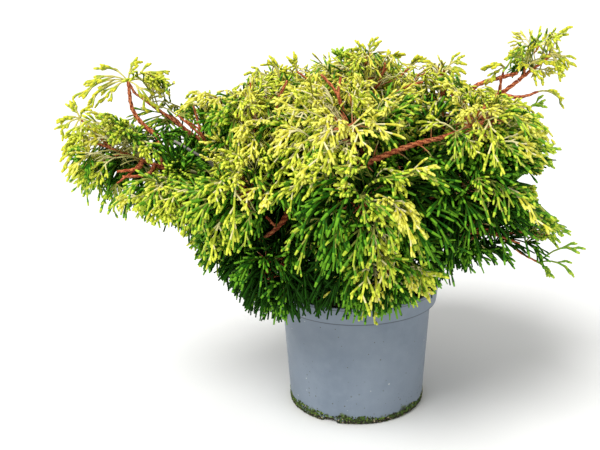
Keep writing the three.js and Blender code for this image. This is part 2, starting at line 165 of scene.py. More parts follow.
# %% Masks and mixes
def remapped(tree, value, low, high):
    """A soft step: 0 where value is under low, 1 where it is over high. Either may be a socket."""
    node = tree.nodes.new("ShaderNodeMapRange")
    node.interpolation_type = "SMOOTHSTEP"
    tree.links.new(value, node.inputs["Value"])
    for label, bound in (("From Min", low), ("From Max", high)):
        if isinstance(bound, (int, float)):
            node.inputs[label].default_value = bound
        else:
            tree.links.new(bound, node.inputs[label])
    return node.outputs["Result"]


def mixed(tree, mask, first, second):
    """first where the mask is 0, second where it is 1. Either is a paint-card colour or a socket."""
    node = tree.nodes.new("ShaderNodeMix")
    node.data_type = "RGBA"
    tree.links.new(mask, node.inputs["Factor"])
    for label, colour in (("A", first), ("B", second)):
        socket = next(s for s in node.inputs if s.name == label and s.type == "RGBA")
        if isinstance(colour, str):
            socket.default_value = linear(colour)
        else:
            tree.links.new(colour, socket)
    return next(s for s in node.outputs if s.type == "RGBA")


def calculated(tree, operation, first, second):
    """A Math node on sockets or numbers."""
    node = tree.nodes.new("ShaderNodeMath")
    node.operation = operation
    for socket, value in zip(node.inputs, (first, second)):
        if isinstance(value, (int, float)):
            socket.default_value = value
        else:
            tree.links.new(value, socket)
    return node.outputs[0]


def faded(tree, mask, share):
    """A mask at a share of its strength."""
    return calculated(tree, "MULTIPLY", mask, share)


# %% Places and bumps
def object_places(tree):
    return tree.nodes.new("ShaderNodeTexCoord").outputs["Object"]


def add_bump(tree, shader, height, distance, strength):
    node = tree.nodes.new("ShaderNodeBump")
    node.inputs["Distance"].default_value = distance
    node.inputs["Strength"].default_value = strength
    tree.links.new(height, node.inputs["Height"])
    tree.links.new(node.outputs["Normal"], shader.inputs["Normal"])


# %% The mottle group
PATTERN_INPUTS = {"Vector": "NodeSocketVector", "Scale": "NodeSocketFloat"}
CLOUD_DETAIL = 5

mottle, mottle_in, mottle_out = new_group(
    "mottle", {**PATTERN_INPUTS, "Low": "NodeSocketFloat", "High": "NodeSocketFloat"}, ["Value"]
)
clouds = mottle.nodes.new("ShaderNodeTexNoise")
clouds.inputs["Detail"].default_value = CLOUD_DETAIL
mottle.links.new(mottle_in.outputs["Vector"], clouds.inputs["Vector"])
mottle.links.new(mottle_in.outputs["Scale"], clouds.inputs["Scale"])
clouded = remapped(mottle, clouds.outputs[0], mottle_in.outputs["Low"], mottle_in.outputs["High"])
mottle.links.new(clouded, mottle_out.inputs["Value"])
print("group", mottle.name, [s.name for s in mottle.interface.items_tree])

# %% The flecks group
flecks, flecks_in, flecks_out = new_group(
    "flecks", {**PATTERN_INPUTS, "Size": "NodeSocketFloat", "Share": "NodeSocketFloat"}, ["Mask"]
)
cells = flecks.nodes.new("ShaderNodeTexVoronoi")
flecks.links.new(flecks_in.outputs["Vector"], cells.inputs["Vector"])
flecks.links.new(flecks_in.outputs["Scale"], cells.inputs["Scale"])
lottery = flecks.nodes.new("ShaderNodeSeparateColor")
flecks.links.new(cells.outputs["Color"], lottery.inputs["Color"])
drawn = calculated(flecks, "LESS_THAN", lottery.outputs[0], flecks_in.outputs["Share"])
width = calculated(flecks, "MULTIPLY", flecks_in.outputs["Size"], lottery.outputs[1])
spot = calculated(flecks, "LESS_THAN", cells.outputs["Distance"], width)
flecks.links.new(calculated(flecks, "MULTIPLY", drawn, spot), flecks_out.inputs["Mask"])
print("group", flecks.name, [s.name for s in flecks.interface.items_tree])

# %% [markdown]
# ## Floor and light
#
# Plants are shown on a seamless pale ground under big soft lamps. A wide floor and a bright, even
# surround give that, and one broad sun from the front left shapes the crown and the pot. A sun lights
# the whole floor evenly, where an area lamp would leave a bright patch.

# %% Floor and light
FLOOR_REACH = 40
FLOOR_PARTS = 8
FLOOR_GLOSS = 0.1
SURROUND = 0.65
KEY = {"energy": 2.85, "softness": math.radians(32), "from": Vector((-0.5, -0.75, 1.2))}

bpy.ops.mesh.primitive_grid_add(x_subdivisions=FLOOR_PARTS, y_subdivisions=FLOOR_PARTS, size=2 * FLOOR_REACH)
floor = bpy.context.object
floor.name = "floor"
floor_material, floor_shader = new_material("pale_floor", "#f4f4f2", roughness=0.9)
floor_shader.inputs["Specular IOR Level"].default_value = FLOOR_GLOSS
floor.data.materials.append(floor_material)
floor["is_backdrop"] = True

world = bpy.data.worlds.new("soft_studio")
world.use_nodes = True
world.node_tree.nodes["Background"].inputs["Color"].default_value = linear("#ffffff")
world.node_tree.nodes["Background"].inputs["Strength"].default_value = SURROUND
bpy.context.scene.world = world

key_data = bpy.data.lights.new("key", "SUN")
key_data.energy = KEY["energy"]
key_data.angle = KEY["softness"]
key = bpy.data.objects.new("key", key_data)
key.rotation_euler = KEY["from"].to_track_quat("Z", "Y").to_euler()
bpy.context.scene.collection.objects.link(key)
bpy.context.scene.view_settings.view_transform = "Standard"
print("surround", SURROUND, "key", KEY["energy"])

# %% [markdown]
# ## Building meshes from arrays
#
# The crown has tens of thousands of small cords. Made one by one they would take minutes, so each kind
# is worked out as arrays of points and turned into one joined mesh. Every cord is a closed tube that
# tapers or swells along its length, with three sides where it is fine and more where it is thick.


# %% Tubes from arrays
STEEP = 0.95  # past this a path stands nearly upright


def unit(vectors):
    return vectors / np.linalg.norm(vectors, axis=-1, keepdims=True)


def turned(vectors, axes, angles):
    """Vectors turned about unit axes, row by row."""
    cos = np.cos(angles)[..., None]
    sin = np.sin(angles)[..., None]
    along = np.sum(axes * vectors, axis=-1, keepdims=True)
    return vectors * cos + np.cross(axes, vectors) * sin + axes * along * (1 - cos)


def tube_points(paths, radii, sides):
    """Rings of points round each path. paths is (tubes, rings, 3) and radii (tubes, rings)."""
    tangents = unit(np.gradient(paths, axis=1))
    first = tangents[:, :1]
    upright = np.abs(first[..., 2:]) > STEEP
    reference = np.where(upright, [1.0, 0.0, 0.0], [0.0, 0.0, 1.0])
    across = unit(np.cross(tangents, np.broadcast_to(reference, tangents.shape)))
    above = np.cross(across, tangents)
    lowest = np.pi / 2 if sides % 2 else np.pi / 4
    angles = 2 * np.pi * np.arange(sides) / sides + lowest
    spokes = np.cos(angles)[:, None] * across[:, :, None] + np.sin(angles)[:, None] * above[:, :, None]
    return paths[:, :, None] + radii[..., None, None] * spokes


def tube_faces(tubes, rings, sides):
    """Side faces and end caps of the tubes, as rows of four and rows of as many corners as sides."""
    ring, side = np.meshgrid(np.arange(rings - 1), np.arange(sides), indexing="ij")
    here = ring * sides + side
    beside = ring * sides + (side + 1) % sides
    quads = np.stack([here, here + sides, beside + sides, beside], axis=-1).reshape(-1, 4)
    caps = np.array([np.arange(sides), (rings - 1) * sides + np.arange(sides)[::-1]])
    offsets = (np.arange(tubes) * rings * sides)[:, None, None]
    return (quads + offsets).reshape(-1, 4), (caps + offsets).reshape(-1, sides)


# %% Meshes from arrays
def joined_mesh(name, points, face_groups, zone_groups, materials, smooth=True):
    """One mesh object from points, groups of equal-sized faces, and each face's material."""
    mesh = bpy.data.meshes.new(name)
    mesh.vertices.add(len(points))
    mesh.vertices.foreach_set("co", np.asarray(points, np.float32).ravel())
    corners = np.concatenate([faces.ravel() for faces in face_groups])
    sizes = np.concatenate([np.full(len(faces), faces.shape[1]) for faces in face_groups])
    mesh.loops.add(len(corners))
    mesh.loops.foreach_set("vertex_index", corners.astype(np.int32))
    mesh.polygons.add(len(sizes))
    starts = np.concatenate([[0], np.cumsum(sizes)[:-1]])
    mesh.polygons.foreach_set("loop_start", starts.astype(np.int32))
    mesh.polygons.foreach_set("material_index", np.concatenate(zone_groups).astype(np.int32))
    mesh.polygons.foreach_set("use_smooth", np.full(len(sizes), smooth))
    for material in materials:
        mesh.materials.append(material)
    mesh.update(calc_edges=True)
    made = bpy.data.objects.new(name, mesh)
    bpy.context.scene.collection.objects.link(made)
    return made


def joined_tubes(name, tubes, materials):
    """One piece of several sets of tubes, each with its points, side faces, caps and their zones."""
    all_points, faces, zones, offset = [], [], [], 0
    for points, quads, caps, *own_zones in tubes:
        all_points.append(points)
        faces += [quads + offset, caps + offset]
        zones += own_zones
        offset += len(points)
    return joined_mesh(name, np.concatenate(all_points), faces, zones, materials)


# %% Scattered shapes
def scattered_mesh(name, shape, centres, frames, zones, materials, smooth=True):
    """Many copies of one small shape in one mesh. Each has a middle, three scaled axes and a material."""
    base, faces = shape
    points = (centres[:, None] + np.einsum("ij,njk->nik", base, frames)).reshape(-1, 3)
    offsets = (np.arange(len(centres)) * len(base))[:, None, None]
    all_faces = (faces[None] + offsets).reshape(-1, faces.shape[1])
    return joined_mesh(name, points, [all_faces], [np.repeat(zones, len(faces))], materials, smooth)


def random_frames(rng, sizes):
    """Axes turned every way, scaled by three sizes each."""
    frames = np.linalg.qr(rng.normal(size=(len(sizes), 3, 3)))[0]
    frames *= np.sign(np.linalg.det(frames))[:, None, None]
    return frames * sizes[:, :, None]


# %% Finishing a piece
def finish_piece(made, slot, *nodes):
    """Fastens a piece to the plant's one body and hides the model's nodes it stands for; slot is not used."""
    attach(made, "root")
    if nodes:
        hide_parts(*nodes)
    return made


# %% [markdown]
# ## The pot
#
# A 3 litre nursery pot is injection moulded: a thin tapering wall, a collar that stands out at the top
# so that pots can be lifted and stacked, and drain slots in the corner of the foot. Turning one profile
# round the axis gives the wall with all its roundings, and a Boolean cuts the slots. The wall isn't quite
# round after a season outdoors, so the points are moved a little by slow waves.

# %% The sizes of the pot
POT_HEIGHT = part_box("pot")[1].z
POT_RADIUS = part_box("pot")[1].x
COLLAR = {"height": 21 * MM, "draft": 2 * MM, "edge": 1.5 * MM}
WALL = 2 * MM
WALL_TOP_RADIUS = 87.8 * MM
FOOT_RADIUS = 79.5 * MM
FOOT_ROUNDING = 4 * MM
FLOOR_THICKNESS = 3 * MM
GROOVE = {"height": 2 * MM, "depth": 1.2 * MM}
WALL_RINGS = 12
POT_TURNS = 192
collar_foot = POT_HEIGHT - COLLAR["height"]
collar_radius = POT_RADIUS - COLLAR["draft"]
print("pot", round(POT_HEIGHT, 4), "m high, collar from", round(collar_foot, 4), "m")


# %% The pot's profile
FOOT_ARC = (-88, -4, 6)  # first and last angle in degrees from the outward direction, and how many points
COLLAR_ARC = (-86, 0, 5)
LIP_ARC = (0, 12, 2)
RIM_ARC = (15, 90, 5)
WALL_FROM = 1.6 * FOOT_ROUNDING
GROOVE_BEVEL = 0.4 * GROOVE["height"]
RIM_ROUNDING = 0.8 * COLLAR["edge"]


def arc(centre, radius, first, last, steps):
    """Points on an arc of the profile, by angles in degrees from the outward direction."""
    angles = np.radians(np.linspace(first, last, steps))
    return [(centre[0] + radius * math.cos(a), centre[1] + radius * math.sin(a)) for a in angles]


def wall_radius(z):
    return FOOT_RADIUS + (WALL_TOP_RADIUS - FOOT_RADIUS) * z / collar_foot


def pot_profile():
    """The section from the middle of the underside, up the outside, over the rim and down the inside."""
    edge = COLLAR["edge"]
    foot = (wall_radius(FOOT_ROUNDING) - FOOT_ROUNDING, FOOT_ROUNDING)
    outside = [(0, 0), (FOOT_RADIUS - 2 * FOOT_ROUNDING, 0)] + arc(foot, FOOT_ROUNDING, *FOOT_ARC)
    heights = np.linspace(WALL_FROM, collar_foot - GROOVE["height"], WALL_RINGS)
    outside += [(wall_radius(z), z) for z in heights]
    outside += [
        (WALL_TOP_RADIUS - GROOVE["depth"], collar_foot - GROOVE_BEVEL),
        (WALL_TOP_RADIUS - GROOVE["depth"], collar_foot),
    ]
    outside += arc((collar_radius - edge, collar_foot + edge), edge, *COLLAR_ARC)
    outside += arc((POT_RADIUS - RIM_ROUNDING, POT_HEIGHT - 2 * edge), RIM_ROUNDING, *LIP_ARC)
    outside += arc((POT_RADIUS - 0.9 * edge, POT_HEIGHT - edge), RIM_ROUNDING, *RIM_ARC)
    inside = [
        (POT_RADIUS - WALL - 0.3 * edge, POT_HEIGHT - 0.4 * edge),
        (POT_RADIUS - WALL - 0.5 * edge, POT_HEIGHT - 2 * edge),
        (collar_radius - WALL, collar_foot + edge + WALL),
        (WALL_TOP_RADIUS - WALL, collar_foot),
        (wall_radius(FLOOR_THICKNESS) - WALL, FLOOR_THICKNESS),
        (0, FLOOR_THICKNESS),
    ]
    return np.array(outside + inside)


profile = pot_profile()
print(len(profile), "profile points")

# %% Turning the wall
WARP = 0.35 * MM
WARP_WAVES = (2, 5)  # how many round the pot
WARP_PHASE = 0.7
WARP_RIPPLE = 0.5


def turned_shape(name, profile, turns, material):
    """A closed solid of revolution. Its profile starts and ends on the axis."""
    bearings = 2 * np.pi * np.arange(turns) / turns
    rim = profile[1:-1]
    radius = np.broadcast_to(rim[:, 0], (turns, len(rim)))
    slow, quick = (waves * bearings for waves in WARP_WAVES)
    warp = WARP * (np.sin(slow + WARP_PHASE) + WARP_RIPPLE * np.sin(quick))[:, None]
    lift = rim[:, 1] / POT_HEIGHT
    radius = radius - np.maximum(warp, 0) * lift
    x, y = radius * np.cos(bearings)[:, None], radius * np.sin(bearings)[:, None]
    points = np.stack([x, y, np.broadcast_to(rim[:, 1], radius.shape)], axis=-1).reshape(-1, 3)
    poles = [[0, 0, profile[0, 1]], [0, 0, profile[-1, 1]]]
    points = np.concatenate([points, poles])
    count = len(rim)
    turn, step = np.meshgrid(np.arange(turns), np.arange(count - 1), indexing="ij")
    here = turn * count + step
    beside = ((turn + 1) % turns) * count + step
    quads = np.stack([here, beside, beside + 1, here + 1], axis=-1).reshape(-1, 4)
    first = np.arange(turns) * count
    second = ((np.arange(turns) + 1) % turns) * count
    bottom = np.stack([np.full(turns, turns * count), second, first], axis=-1)
    last = count - 1
    top = np.stack([np.full(turns, turns * count + 1), first + last, second + last], axis=-1)
    triangles = np.concatenate([bottom, top])
    zones = [np.zeros(len(quads)), np.zeros(len(triangles))]
    return joined_mesh(name, points, [quads, triangles], zones, [material])


# %% [markdown]
# ## The pot's finish
#
# The plastic is matt and slightly cloudy, with pale lime specks and dark specks of dirt that are
# thickest low down. Painted shade darkens the groove under the collar, where the collar casts its shadow,
# and a thin line just under the rim. Where water splashes, green algae and grime climb the wall. All of it
# follows height and noise, so it is built from the two groups and from the height of each point.

# %% The pot's plastic
# Painted shade: dark lines in the groove under the collar, where its shadow falls, and just under the rim
PAINTED_SHADE_LINES = [(collar_foot, 2.3 * MM), (POT_HEIGHT - 3.2 * MM, 0.6 * MM)]  # height and half the width
SHADE_LINE_CORE = 0.4  # the share of a seam's half width that is fully dark
SHADE_LINE_STRENGTH = 0.85
HAZE_STRENGTH = 0.35

plastic, plastic_shader = new_material("pot_plastic", "#8793a1", roughness=0.5)
tree = plastic.node_tree
places = object_places(tree)
split = tree.nodes.new("ShaderNodeSeparateXYZ")
tree.links.new(places, split.inputs["Vector"])
height = split.outputs["Z"]

cloudy = place_group(tree, mottle, places, Scale=14.0, Low=0.3, High=0.7)
body_colour = mixed(tree, cloudy, "#6e7b8a", "#7d8997")
haze = place_group(tree, mottle, places, Scale=90.0, Low=0.35, High=0.8)
body_colour = mixed(tree, faded(tree, haze, HAZE_STRENGTH), body_colour, "#8b97a4")
pale_specks = place_group(tree, flecks, places, Scale=190.0, Size=0.22, Share=0.05)
body_colour = mixed(tree, pale_specks, body_colour, "#a9b0b4")
# the painted shade lines darken the plastic at these heights
for level, half_width in PAINTED_SHADE_LINES:
    off_shade_line = calculated(tree, "ABSOLUTE", calculated(tree, "SUBTRACT", height, level), 0)
    shade_line = remapped(tree, off_shade_line, half_width, SHADE_LINE_CORE * half_width)
    body_colour = mixed(tree, faded(tree, shade_line, SHADE_LINE_STRENGTH), body_colour, "#3b444e")
print("painted_shade_lines at", [round(level, 4) for level, _ in PAINTED_SHADE_LINES], "m")

# %% Dirt and grime on the pot
SPECKS_TOP = 85 * MM
SPECK_STRENGTH = 0.85
GRIME_HEIGHT = 16 * MM
GRIME_FADE = (5 * MM, -2 * MM)  # above and under its ragged edge
GRIME_STRENGTH = 0.9

low_down = remapped(tree, height, SPECKS_TOP, 0.0)
dark_specks = place_group(tree, flecks, places, Scale=330.0, Size=0.4, Share=0.12)
few_specks = place_group(tree, flecks, places, Scale=300.0, Size=0.26, Share=0.07)
speckled = calculated(tree, "MAXIMUM", calculated(tree, "MULTIPLY", dark_specks, low_down), few_specks)
body_colour = mixed(tree, faded(tree, speckled, SPECK_STRENGTH), body_colour, "#4b5040")
ragged = place_group(tree, mottle, places, Scale=55.0, Low=0.3, High=0.75)
above_edge = calculated(tree, "SUBTRACT", height, faded(tree, ragged, GRIME_HEIGHT))
grime = remapped(tree, above_edge, *GRIME_FADE)
blotched = place_group(tree, mottle, places, Scale=240.0, Low=0.38, High=0.62)
algae_colour = mixed(tree, blotched, "#2f3018", "#5f7426")
body_colour = mixed(tree, faded(tree, grime, GRIME_STRENGTH), body_colour, algae_colour)
tree.links.new(body_colour, plastic_shader.inputs["Base Color"])
print("grime up to", round(GRIME_HEIGHT / MM), "mm, specks up to", round(SPECKS_TOP / MM), "mm")

# %% The pot's gloss
ROUGH_WITH_DIRT = {"To Min": 0.42, "To Max": 0.95}
HAZE_DULLS = 0.4
GRAIN = {"distance": 0.12 * MM, "strength": 0.5}

dull = calculated(tree, "MAXIMUM", grime, faded(tree, haze, HAZE_DULLS))
rough = tree.nodes.new("ShaderNodeMapRange")
for label, value in ROUGH_WITH_DIRT.items():
    rough.inputs[label].default_value = value
tree.links.new(dull, rough.inputs["Value"])
tree.links.new(rough.outputs["Result"], plastic_shader.inputs["Roughness"])
fine = place_group(tree, mottle, places, Scale=700.0, Low=0.2, High=0.8)
add_bump(tree, plastic_shader, fine, **GRAIN)
print(plastic.name, len(tree.nodes), "nodes")

# %% The cutter for the drain slots
DRAIN_SLOTS = 8
DRAIN_SLOT = {"width": 17 * MM, "height": 6.5 * MM, "depth": 9 * MM, "first_bearing": 247}
SLOT_ROUNDING = 0.3 * DRAIN_SLOT["height"]


def drain_cutter():
    """All the drain slots as one mesh of rounded boxes, half under the ground."""
    cutter = bmesh.new()
    for i in range(DRAIN_SLOTS):
        bearing = math.radians(DRAIN_SLOT["first_bearing"] + 360 * i / DRAIN_SLOTS)
        box = bmesh.new()
        bmesh.ops.create_cube(box, size=1)
        size = (2 * DRAIN_SLOT["depth"], DRAIN_SLOT["width"], 2 * DRAIN_SLOT["height"])
        bmesh.ops.scale(box, vec=size, verts=box.verts)
        bmesh.ops.bevel(box, geom=box.edges, offset=SLOT_ROUNDING, segments=3, affect="EDGES")
        turn = Vector((math.cos(bearing), math.sin(bearing), 0))
        bmesh.ops.rotate(box, verts=box.verts, matrix=turn.to_track_quat("X", "Z").to_matrix())
        bmesh.ops.translate(box, vec=turn * FOOT_RADIUS, verts=box.verts)
        loose = bpy.data.meshes.new("slot")
        box.to_mesh(loose)
        box.free()
        cutter.from_mesh(loose)
        bpy.data.meshes.remove(loose)
    mesh = bpy.data.meshes.new("drain_cutter")
    cutter.to_mesh(mesh)
    cutter.free()
    made = bpy.data.objects.new("drain_cutter", mesh)
    bpy.context.scene.collection.objects.link(made)
    return made


# %% The pot
SMALLEST_EDGE = 0.01 * MM
SHARP_FROM = math.radians(35)


def apply_modifiers(made):
    """Bakes an object's modifiers into its mesh, without the faces that have no area."""
    graph = bpy.context.evaluated_depsgraph_get()
    mesh = bpy.data.meshes.new_from_object(made.evaluated_get(graph))
    made.modifiers.clear()
    cleaned = bmesh.new()
    cleaned.from_mesh(mesh)
    bmesh.ops.triangulate(cleaned, faces=[face for face in cleaned.faces if len(face.verts) > 4])
    bmesh.ops.dissolve_degenerate(cleaned, dist=SMALLEST_EDGE, edges=cleaned.edges)
    cleaned.to_mesh(mesh)
    cleaned.free()
    made.data = mesh


pot = turned_shape("pot_shell", profile, POT_TURNS, plastic)
cutter = drain_cutter()
cut = pot.modifiers.new("slots", "BOOLEAN")
cut.operation = "DIFFERENCE"
cut.object = cutter
cut.solver = "EXACT"
apply_modifiers(pot)
bpy.data.objects.remove(cutter)
pot.data.set_sharp_from_angle(angle=SHARP_FROM)
finish_piece(pot, "plastic", "pot")
print("pot", len(pot.data.polygons), "faces")

# %% [markdown]
# ## Moss at the foot
#
# Where the pot stands in the wet, moss grows in a ragged band of small cushions, with soil and a few pale
# crumbs splashed between them. Each cushion is a small uneven ball half sunk in the wall. The band's
# thickness varies, and it has overgrown all the drain slots but the one at the front left.

# %% Where the moss grows
MOSS = {"count": 3400, "size": (0.6 * MM, 1.4 * MM), "thin": 3.5 * MM, "thick": 12 * MM, "seed": 31}
MOSS_WAVES = [(0.2, 2, 0.4), (0.2, 7, 0), (0.15, 17, 0)]  # how much, how many round the pot, phase
MOSS_MEAN = 0.65
MOSS_RISE = 1.1  # over 1 puts more of it low down
SLOT_CLEARANCE = (0.52 * DRAIN_SLOT["width"], 1.1 * DRAIN_SLOT["height"])


def foot_radius(z):
    """The wall's outside radius, with the rounding at its foot."""
    under = np.clip(FOOT_ROUNDING - z, 0, FOOT_ROUNDING)
    straight = wall_radius(np.maximum(z, FOOT_ROUNDING)) - FOOT_ROUNDING
    return straight + np.sqrt(FOOT_ROUNDING ** 2 - under ** 2)


def small_ball():
    """The points and triangles of a ball with 20 faces."""
    ball = bmesh.new()
    bmesh.ops.create_icosphere(ball, subdivisions=1, radius=1)
    points = np.array([vert.co[:] for vert in ball.verts])
    faces = np.array([[vert.index for vert in face.verts] for face in ball.faces])
    ball.free()
    return points, faces


moss_rng = np.random.default_rng(MOSS["seed"])
bearings = moss_rng.uniform(0, 2 * np.pi, MOSS["count"])
thickness = sum((size * np.sin(turns * bearings + phase) for size, turns, phase in MOSS_WAVES), MOSS_MEAN)
band = MOSS["thin"] + (MOSS["thick"] - MOSS["thin"]) * np.clip(thickness, 0, 1)
heights = MOSS["size"][1] + band * moss_rng.uniform(0, 1, MOSS["count"]) ** MOSS_RISE
off_slot = np.abs(bearings - math.radians(DRAIN_SLOT["first_bearing"])) * FOOT_RADIUS
clear_of_slot = (off_slot > SLOT_CLEARANCE[0]) | (heights > SLOT_CLEARANCE[1])
bearings, heights = bearings[clear_of_slot], heights[clear_of_slot]
radius = foot_radius(heights)
centres = np.stack([radius * np.cos(bearings), radius * np.sin(bearings), heights], axis=1)
print(len(centres), "cushions of moss")

# %% Moss
MOSS_COLOURS = ["#241a11", "#2c3a16", "#46611a", "#6c842a", "#a8987c"]
MOSS_SHARES = {"low": [0.62, 0.2, 0.08, 0.02, 0.08], "high": [0.12, 0.36, 0.36, 0.14, 0.02]}
MOSS_ROUNDNESS = (0.6, 1.1)
SOIL_HEIGHT = 5 * MM

sizes = moss_rng.uniform(*MOSS["size"], (len(centres), 1)) * moss_rng.uniform(*MOSS_ROUNDNESS, centres.shape)
picks = moss_rng.uniform(0, 1, len(centres))
zones_at = {level: np.searchsorted(np.cumsum(shares)[:-1], picks) for level, shares in MOSS_SHARES.items()}
zones = np.where(heights < SOIL_HEIGHT, zones_at["low"], zones_at["high"])
moss_finishes = numbered_finishes("moss", MOSS_COLOURS, roughness=0.95)
moss = scattered_mesh("moss", small_ball(), centres, random_frames(moss_rng, sizes), zones, moss_finishes)
finish_piece(moss, "foliage")
print("moss", len(moss.data.polygons), "faces")

# %% [markdown]
# ## Compost
#
# Nursery compost is dark peat with bark chips and a little pale grit. It fills the pot to a finger's
# breadth under the rim and heaps a little against the stem. The fill is turned like the pot and its top
# is made uneven; the chips are small slabs that lie on it.

# %% Compost
FILL_GAP = 0.4 * MM
FILL_RINGS = 26
FILL_TURNS = 96
FILL_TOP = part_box("compost")[1].z
HEAP = {"height": 1.5 * MM, "reach": 30 * MM}
ROUGHNESS = 1.1 * MM
ROUGH_WAVES = {180: 1, 500: 0.5}  # how many to the metre, and how high

compost, compost_shader = new_material("compost", "#33251b", roughness=0.95)
tree = compost.node_tree
places = object_places(tree)
crumbs = place_group(tree, mottle, places, Scale=420.0, Low=0.35, High=0.65)
compost_colour = mixed(tree, crumbs, "#1c130d", "#4a3424")
grit = place_group(tree, flecks, places, Scale=330.0, Size=0.45, Share=0.06)
compost_colour = mixed(tree, grit, compost_colour, "#a89880")
tree.links.new(compost_colour, compost_shader.inputs["Base Color"])
add_bump(tree, compost_shader, crumbs, distance=1 * MM, strength=0.9)

collar_inside = collar_radius - WALL - FILL_GAP
fill_profile = [
    (0, FLOOR_THICKNESS + FILL_GAP),
    (wall_radius(0) - WALL - FILL_GAP, FLOOR_THICKNESS + FILL_GAP),
    (WALL_TOP_RADIUS - WALL - FILL_GAP, collar_foot),
    (collar_inside, collar_foot + 2 * WALL),
]
fill_profile += [(collar_inside * (1 - i / FILL_RINGS), FILL_TOP) for i in range(FILL_RINGS + 1)]
fill = turned_shape("compost_fill", np.array(fill_profile), FILL_TURNS, compost)
for vert in fill.data.vertices:
    if vert.co.z > FILL_TOP - FILL_GAP:
        out = math.hypot(vert.co.x, vert.co.y)
        uneven = sum(size * noise.noise(vert.co * waves) for waves, size in ROUGH_WAVES.items())
        vert.co.z += ROUGHNESS * uneven + HEAP["height"] * math.exp(-(out / HEAP["reach"]) ** 2) - ROUGHNESS
finish_piece(fill, "compost", "compost")
print("compost", len(fill.data.polygons), "faces")

# %% Bark chips
CHIPS = {"count": 420, "seed": 47, "lean": 0.25}
CHIP_SIZES = [(3 * MM, 8 * MM), (2 * MM, 4 * MM), (0.8 * MM, 1.6 * MM)]  # length, width and height
CHIP_COLOURS = ["#4a3120", "#6b4a30", "#2b1c13", "#8a6f52"]
CHIP_SHARES = [0.4, 0.25, 0.28, 0.07]
CLEAR_MIDDLE = 0.06  # the share of the compost's top, round the trunk, that has no chips
CHIP_CHAMFER = 0.3
HALVES = (-0.5, 0.5)

chip_rng = np.random.default_rng(CHIPS["seed"])
bearings = chip_rng.uniform(0, 2 * np.pi, CHIPS["count"])
farthest = collar_inside - CHIP_SIZES[0][1] / 2
reach = farthest * np.sqrt(chip_rng.uniform(CLEAR_MIDDLE, 1, CHIPS["count"]))
levels = np.full(CHIPS["count"], FILL_TOP)
centres = np.stack([reach * np.cos(bearings), reach * np.sin(bearings), levels], axis=1)
yaw = chip_rng.uniform(0, 2 * np.pi, CHIPS["count"])
along = np.stack([np.cos(yaw), np.sin(yaw), chip_rng.normal(0, CHIPS["lean"], CHIPS["count"])], axis=1)
along = unit(along)
aside = unit(np.cross(along, chip_rng.normal(0, CHIPS["lean"], along.shape) + UP))
sizes = np.stack([chip_rng.uniform(*span, CHIPS["count"]) for span in CHIP_SIZES], axis=1)
frames = np.stack([along, aside, np.cross(along, aside)], axis=1) * sizes[:, :, None]
corners = np.array([[x, y, z] for x in HALVES for y in HALVES for z in HALVES])
corners *= 1 - CHIP_CHAMFER * (corners[:, :1] > 0) * (corners[:, 1:2] > 0)
sides_of_chip = np.array([[0, 1, 3, 2], [4, 6, 7, 5], [0, 4, 5, 1], [2, 3, 7, 6], [0, 2, 6, 4], [1, 5, 7, 3]])
chip_finishes = numbered_finishes("chip", CHIP_COLOURS, roughness=0.9)
zones = chip_rng.choice(len(CHIP_COLOURS), CHIPS["count"], p=CHIP_SHARES)
slab = (corners, sides_of_chip)
chips = scattered_mesh("bark_chips", slab, centres, frames, zones, chip_finishes, smooth=False)
finish_piece(chips, "compost")
print(CHIPS["count"], "chips")

# %% [markdown]
# ## The plan of the crown
#
# The model's rule places one mass of foliage at the end of each bough: three rings that make the dome,
# and seven single masses for the long left wing, the right tips, the front arm and the crest. The same
# rule is written again here, with the same names, seeds and order of draws, so that every twig below
# starts where the solid's twig starts.

# %% Sizes of the limbs
CLEAR = 0.3 * MM
COMPOST_TOP = 136 * MM
TRUNK_TOP = 330 * MM
TRUNK_BEND = np.array([[0, 0, 136.3], [-7, 5, 200], [3, -1, 268], [9, 1, 330]]) * MM
TRUNK_FOOT_RADIUS = 12.5 * MM
TRUNK_TIP_RADIUS = 4.6 * MM
TRUNK_TAPER = 0.8
ROOT_FLARE = {"extra": 6 * MM, "height": 5.3 * MM}
BOUGH_FOOT_RADIUS = 4.1 * MM
BOUGH_TIP_RADIUS = 2.1 * MM
BOUGH_BOW = 0.55
BOUGH_END = 0.62
STEM_REACH = 0.3
CROWN_HEART = np.array([0, 0, 240]) * MM
print("trunk", round((TRUNK_TOP - COMPOST_TOP) / MM), "mm high")


# %% Sizes and places of the masses
def shape(sweep=0, climb=0, **sizes):
    """A mass's place and radii, with the bend of its bough."""
    return {"sweep": sweep, "climb": climb, **{label: size * MM for label, size in sizes.items()}}


SKIRT = shape(reach=132, height=206, across=88, deep=62, leaves=168, sweep=12, climb=1.35)
WAIST = shape(reach=152, height=272, across=90, deep=60, leaves=208, sweep=-8, climb=0.75)
SHOULDER = shape(reach=124, height=344, across=90, deep=56, leaves=268, sweep=20, climb=0.45)
LEFT_HIGH = shape(reach=232, height=358, across=100, deep=44, leaves=250, sweep=-4, climb=0.12)
LEFT_ARM = shape(reach=252, height=308, across=90, deep=50, leaves=237, sweep=-2, climb=0.15)
LEFT_LOW = shape(reach=206, height=272, across=96, deep=50, leaves=194, sweep=-14, climb=0.3)
FRONT_ARM = shape(reach=156, height=342, across=88, deep=54, leaves=246, sweep=-64, climb=0.85)
RIGHT_HIGH = shape(reach=204, height=398, across=48, deep=42, leaves=244, sweep=6, climb=0.5)
RIGHT_LOW = shape(reach=200, height=214, across=66, deep=44, leaves=192, sweep=11, climb=0.6)
CREST = shape(reach=8, height=380, across=112, deep=50)

DENSE = {"kind": "dense", "directions": 20, "back": -0.4, "sprays": 8}
WING = {"kind": "wing", "directions": 24, "back": -0.9, "sprays": 12}
OPEN = {"kind": "open", "directions": 24, "back": -0.9, "sprays": 10}

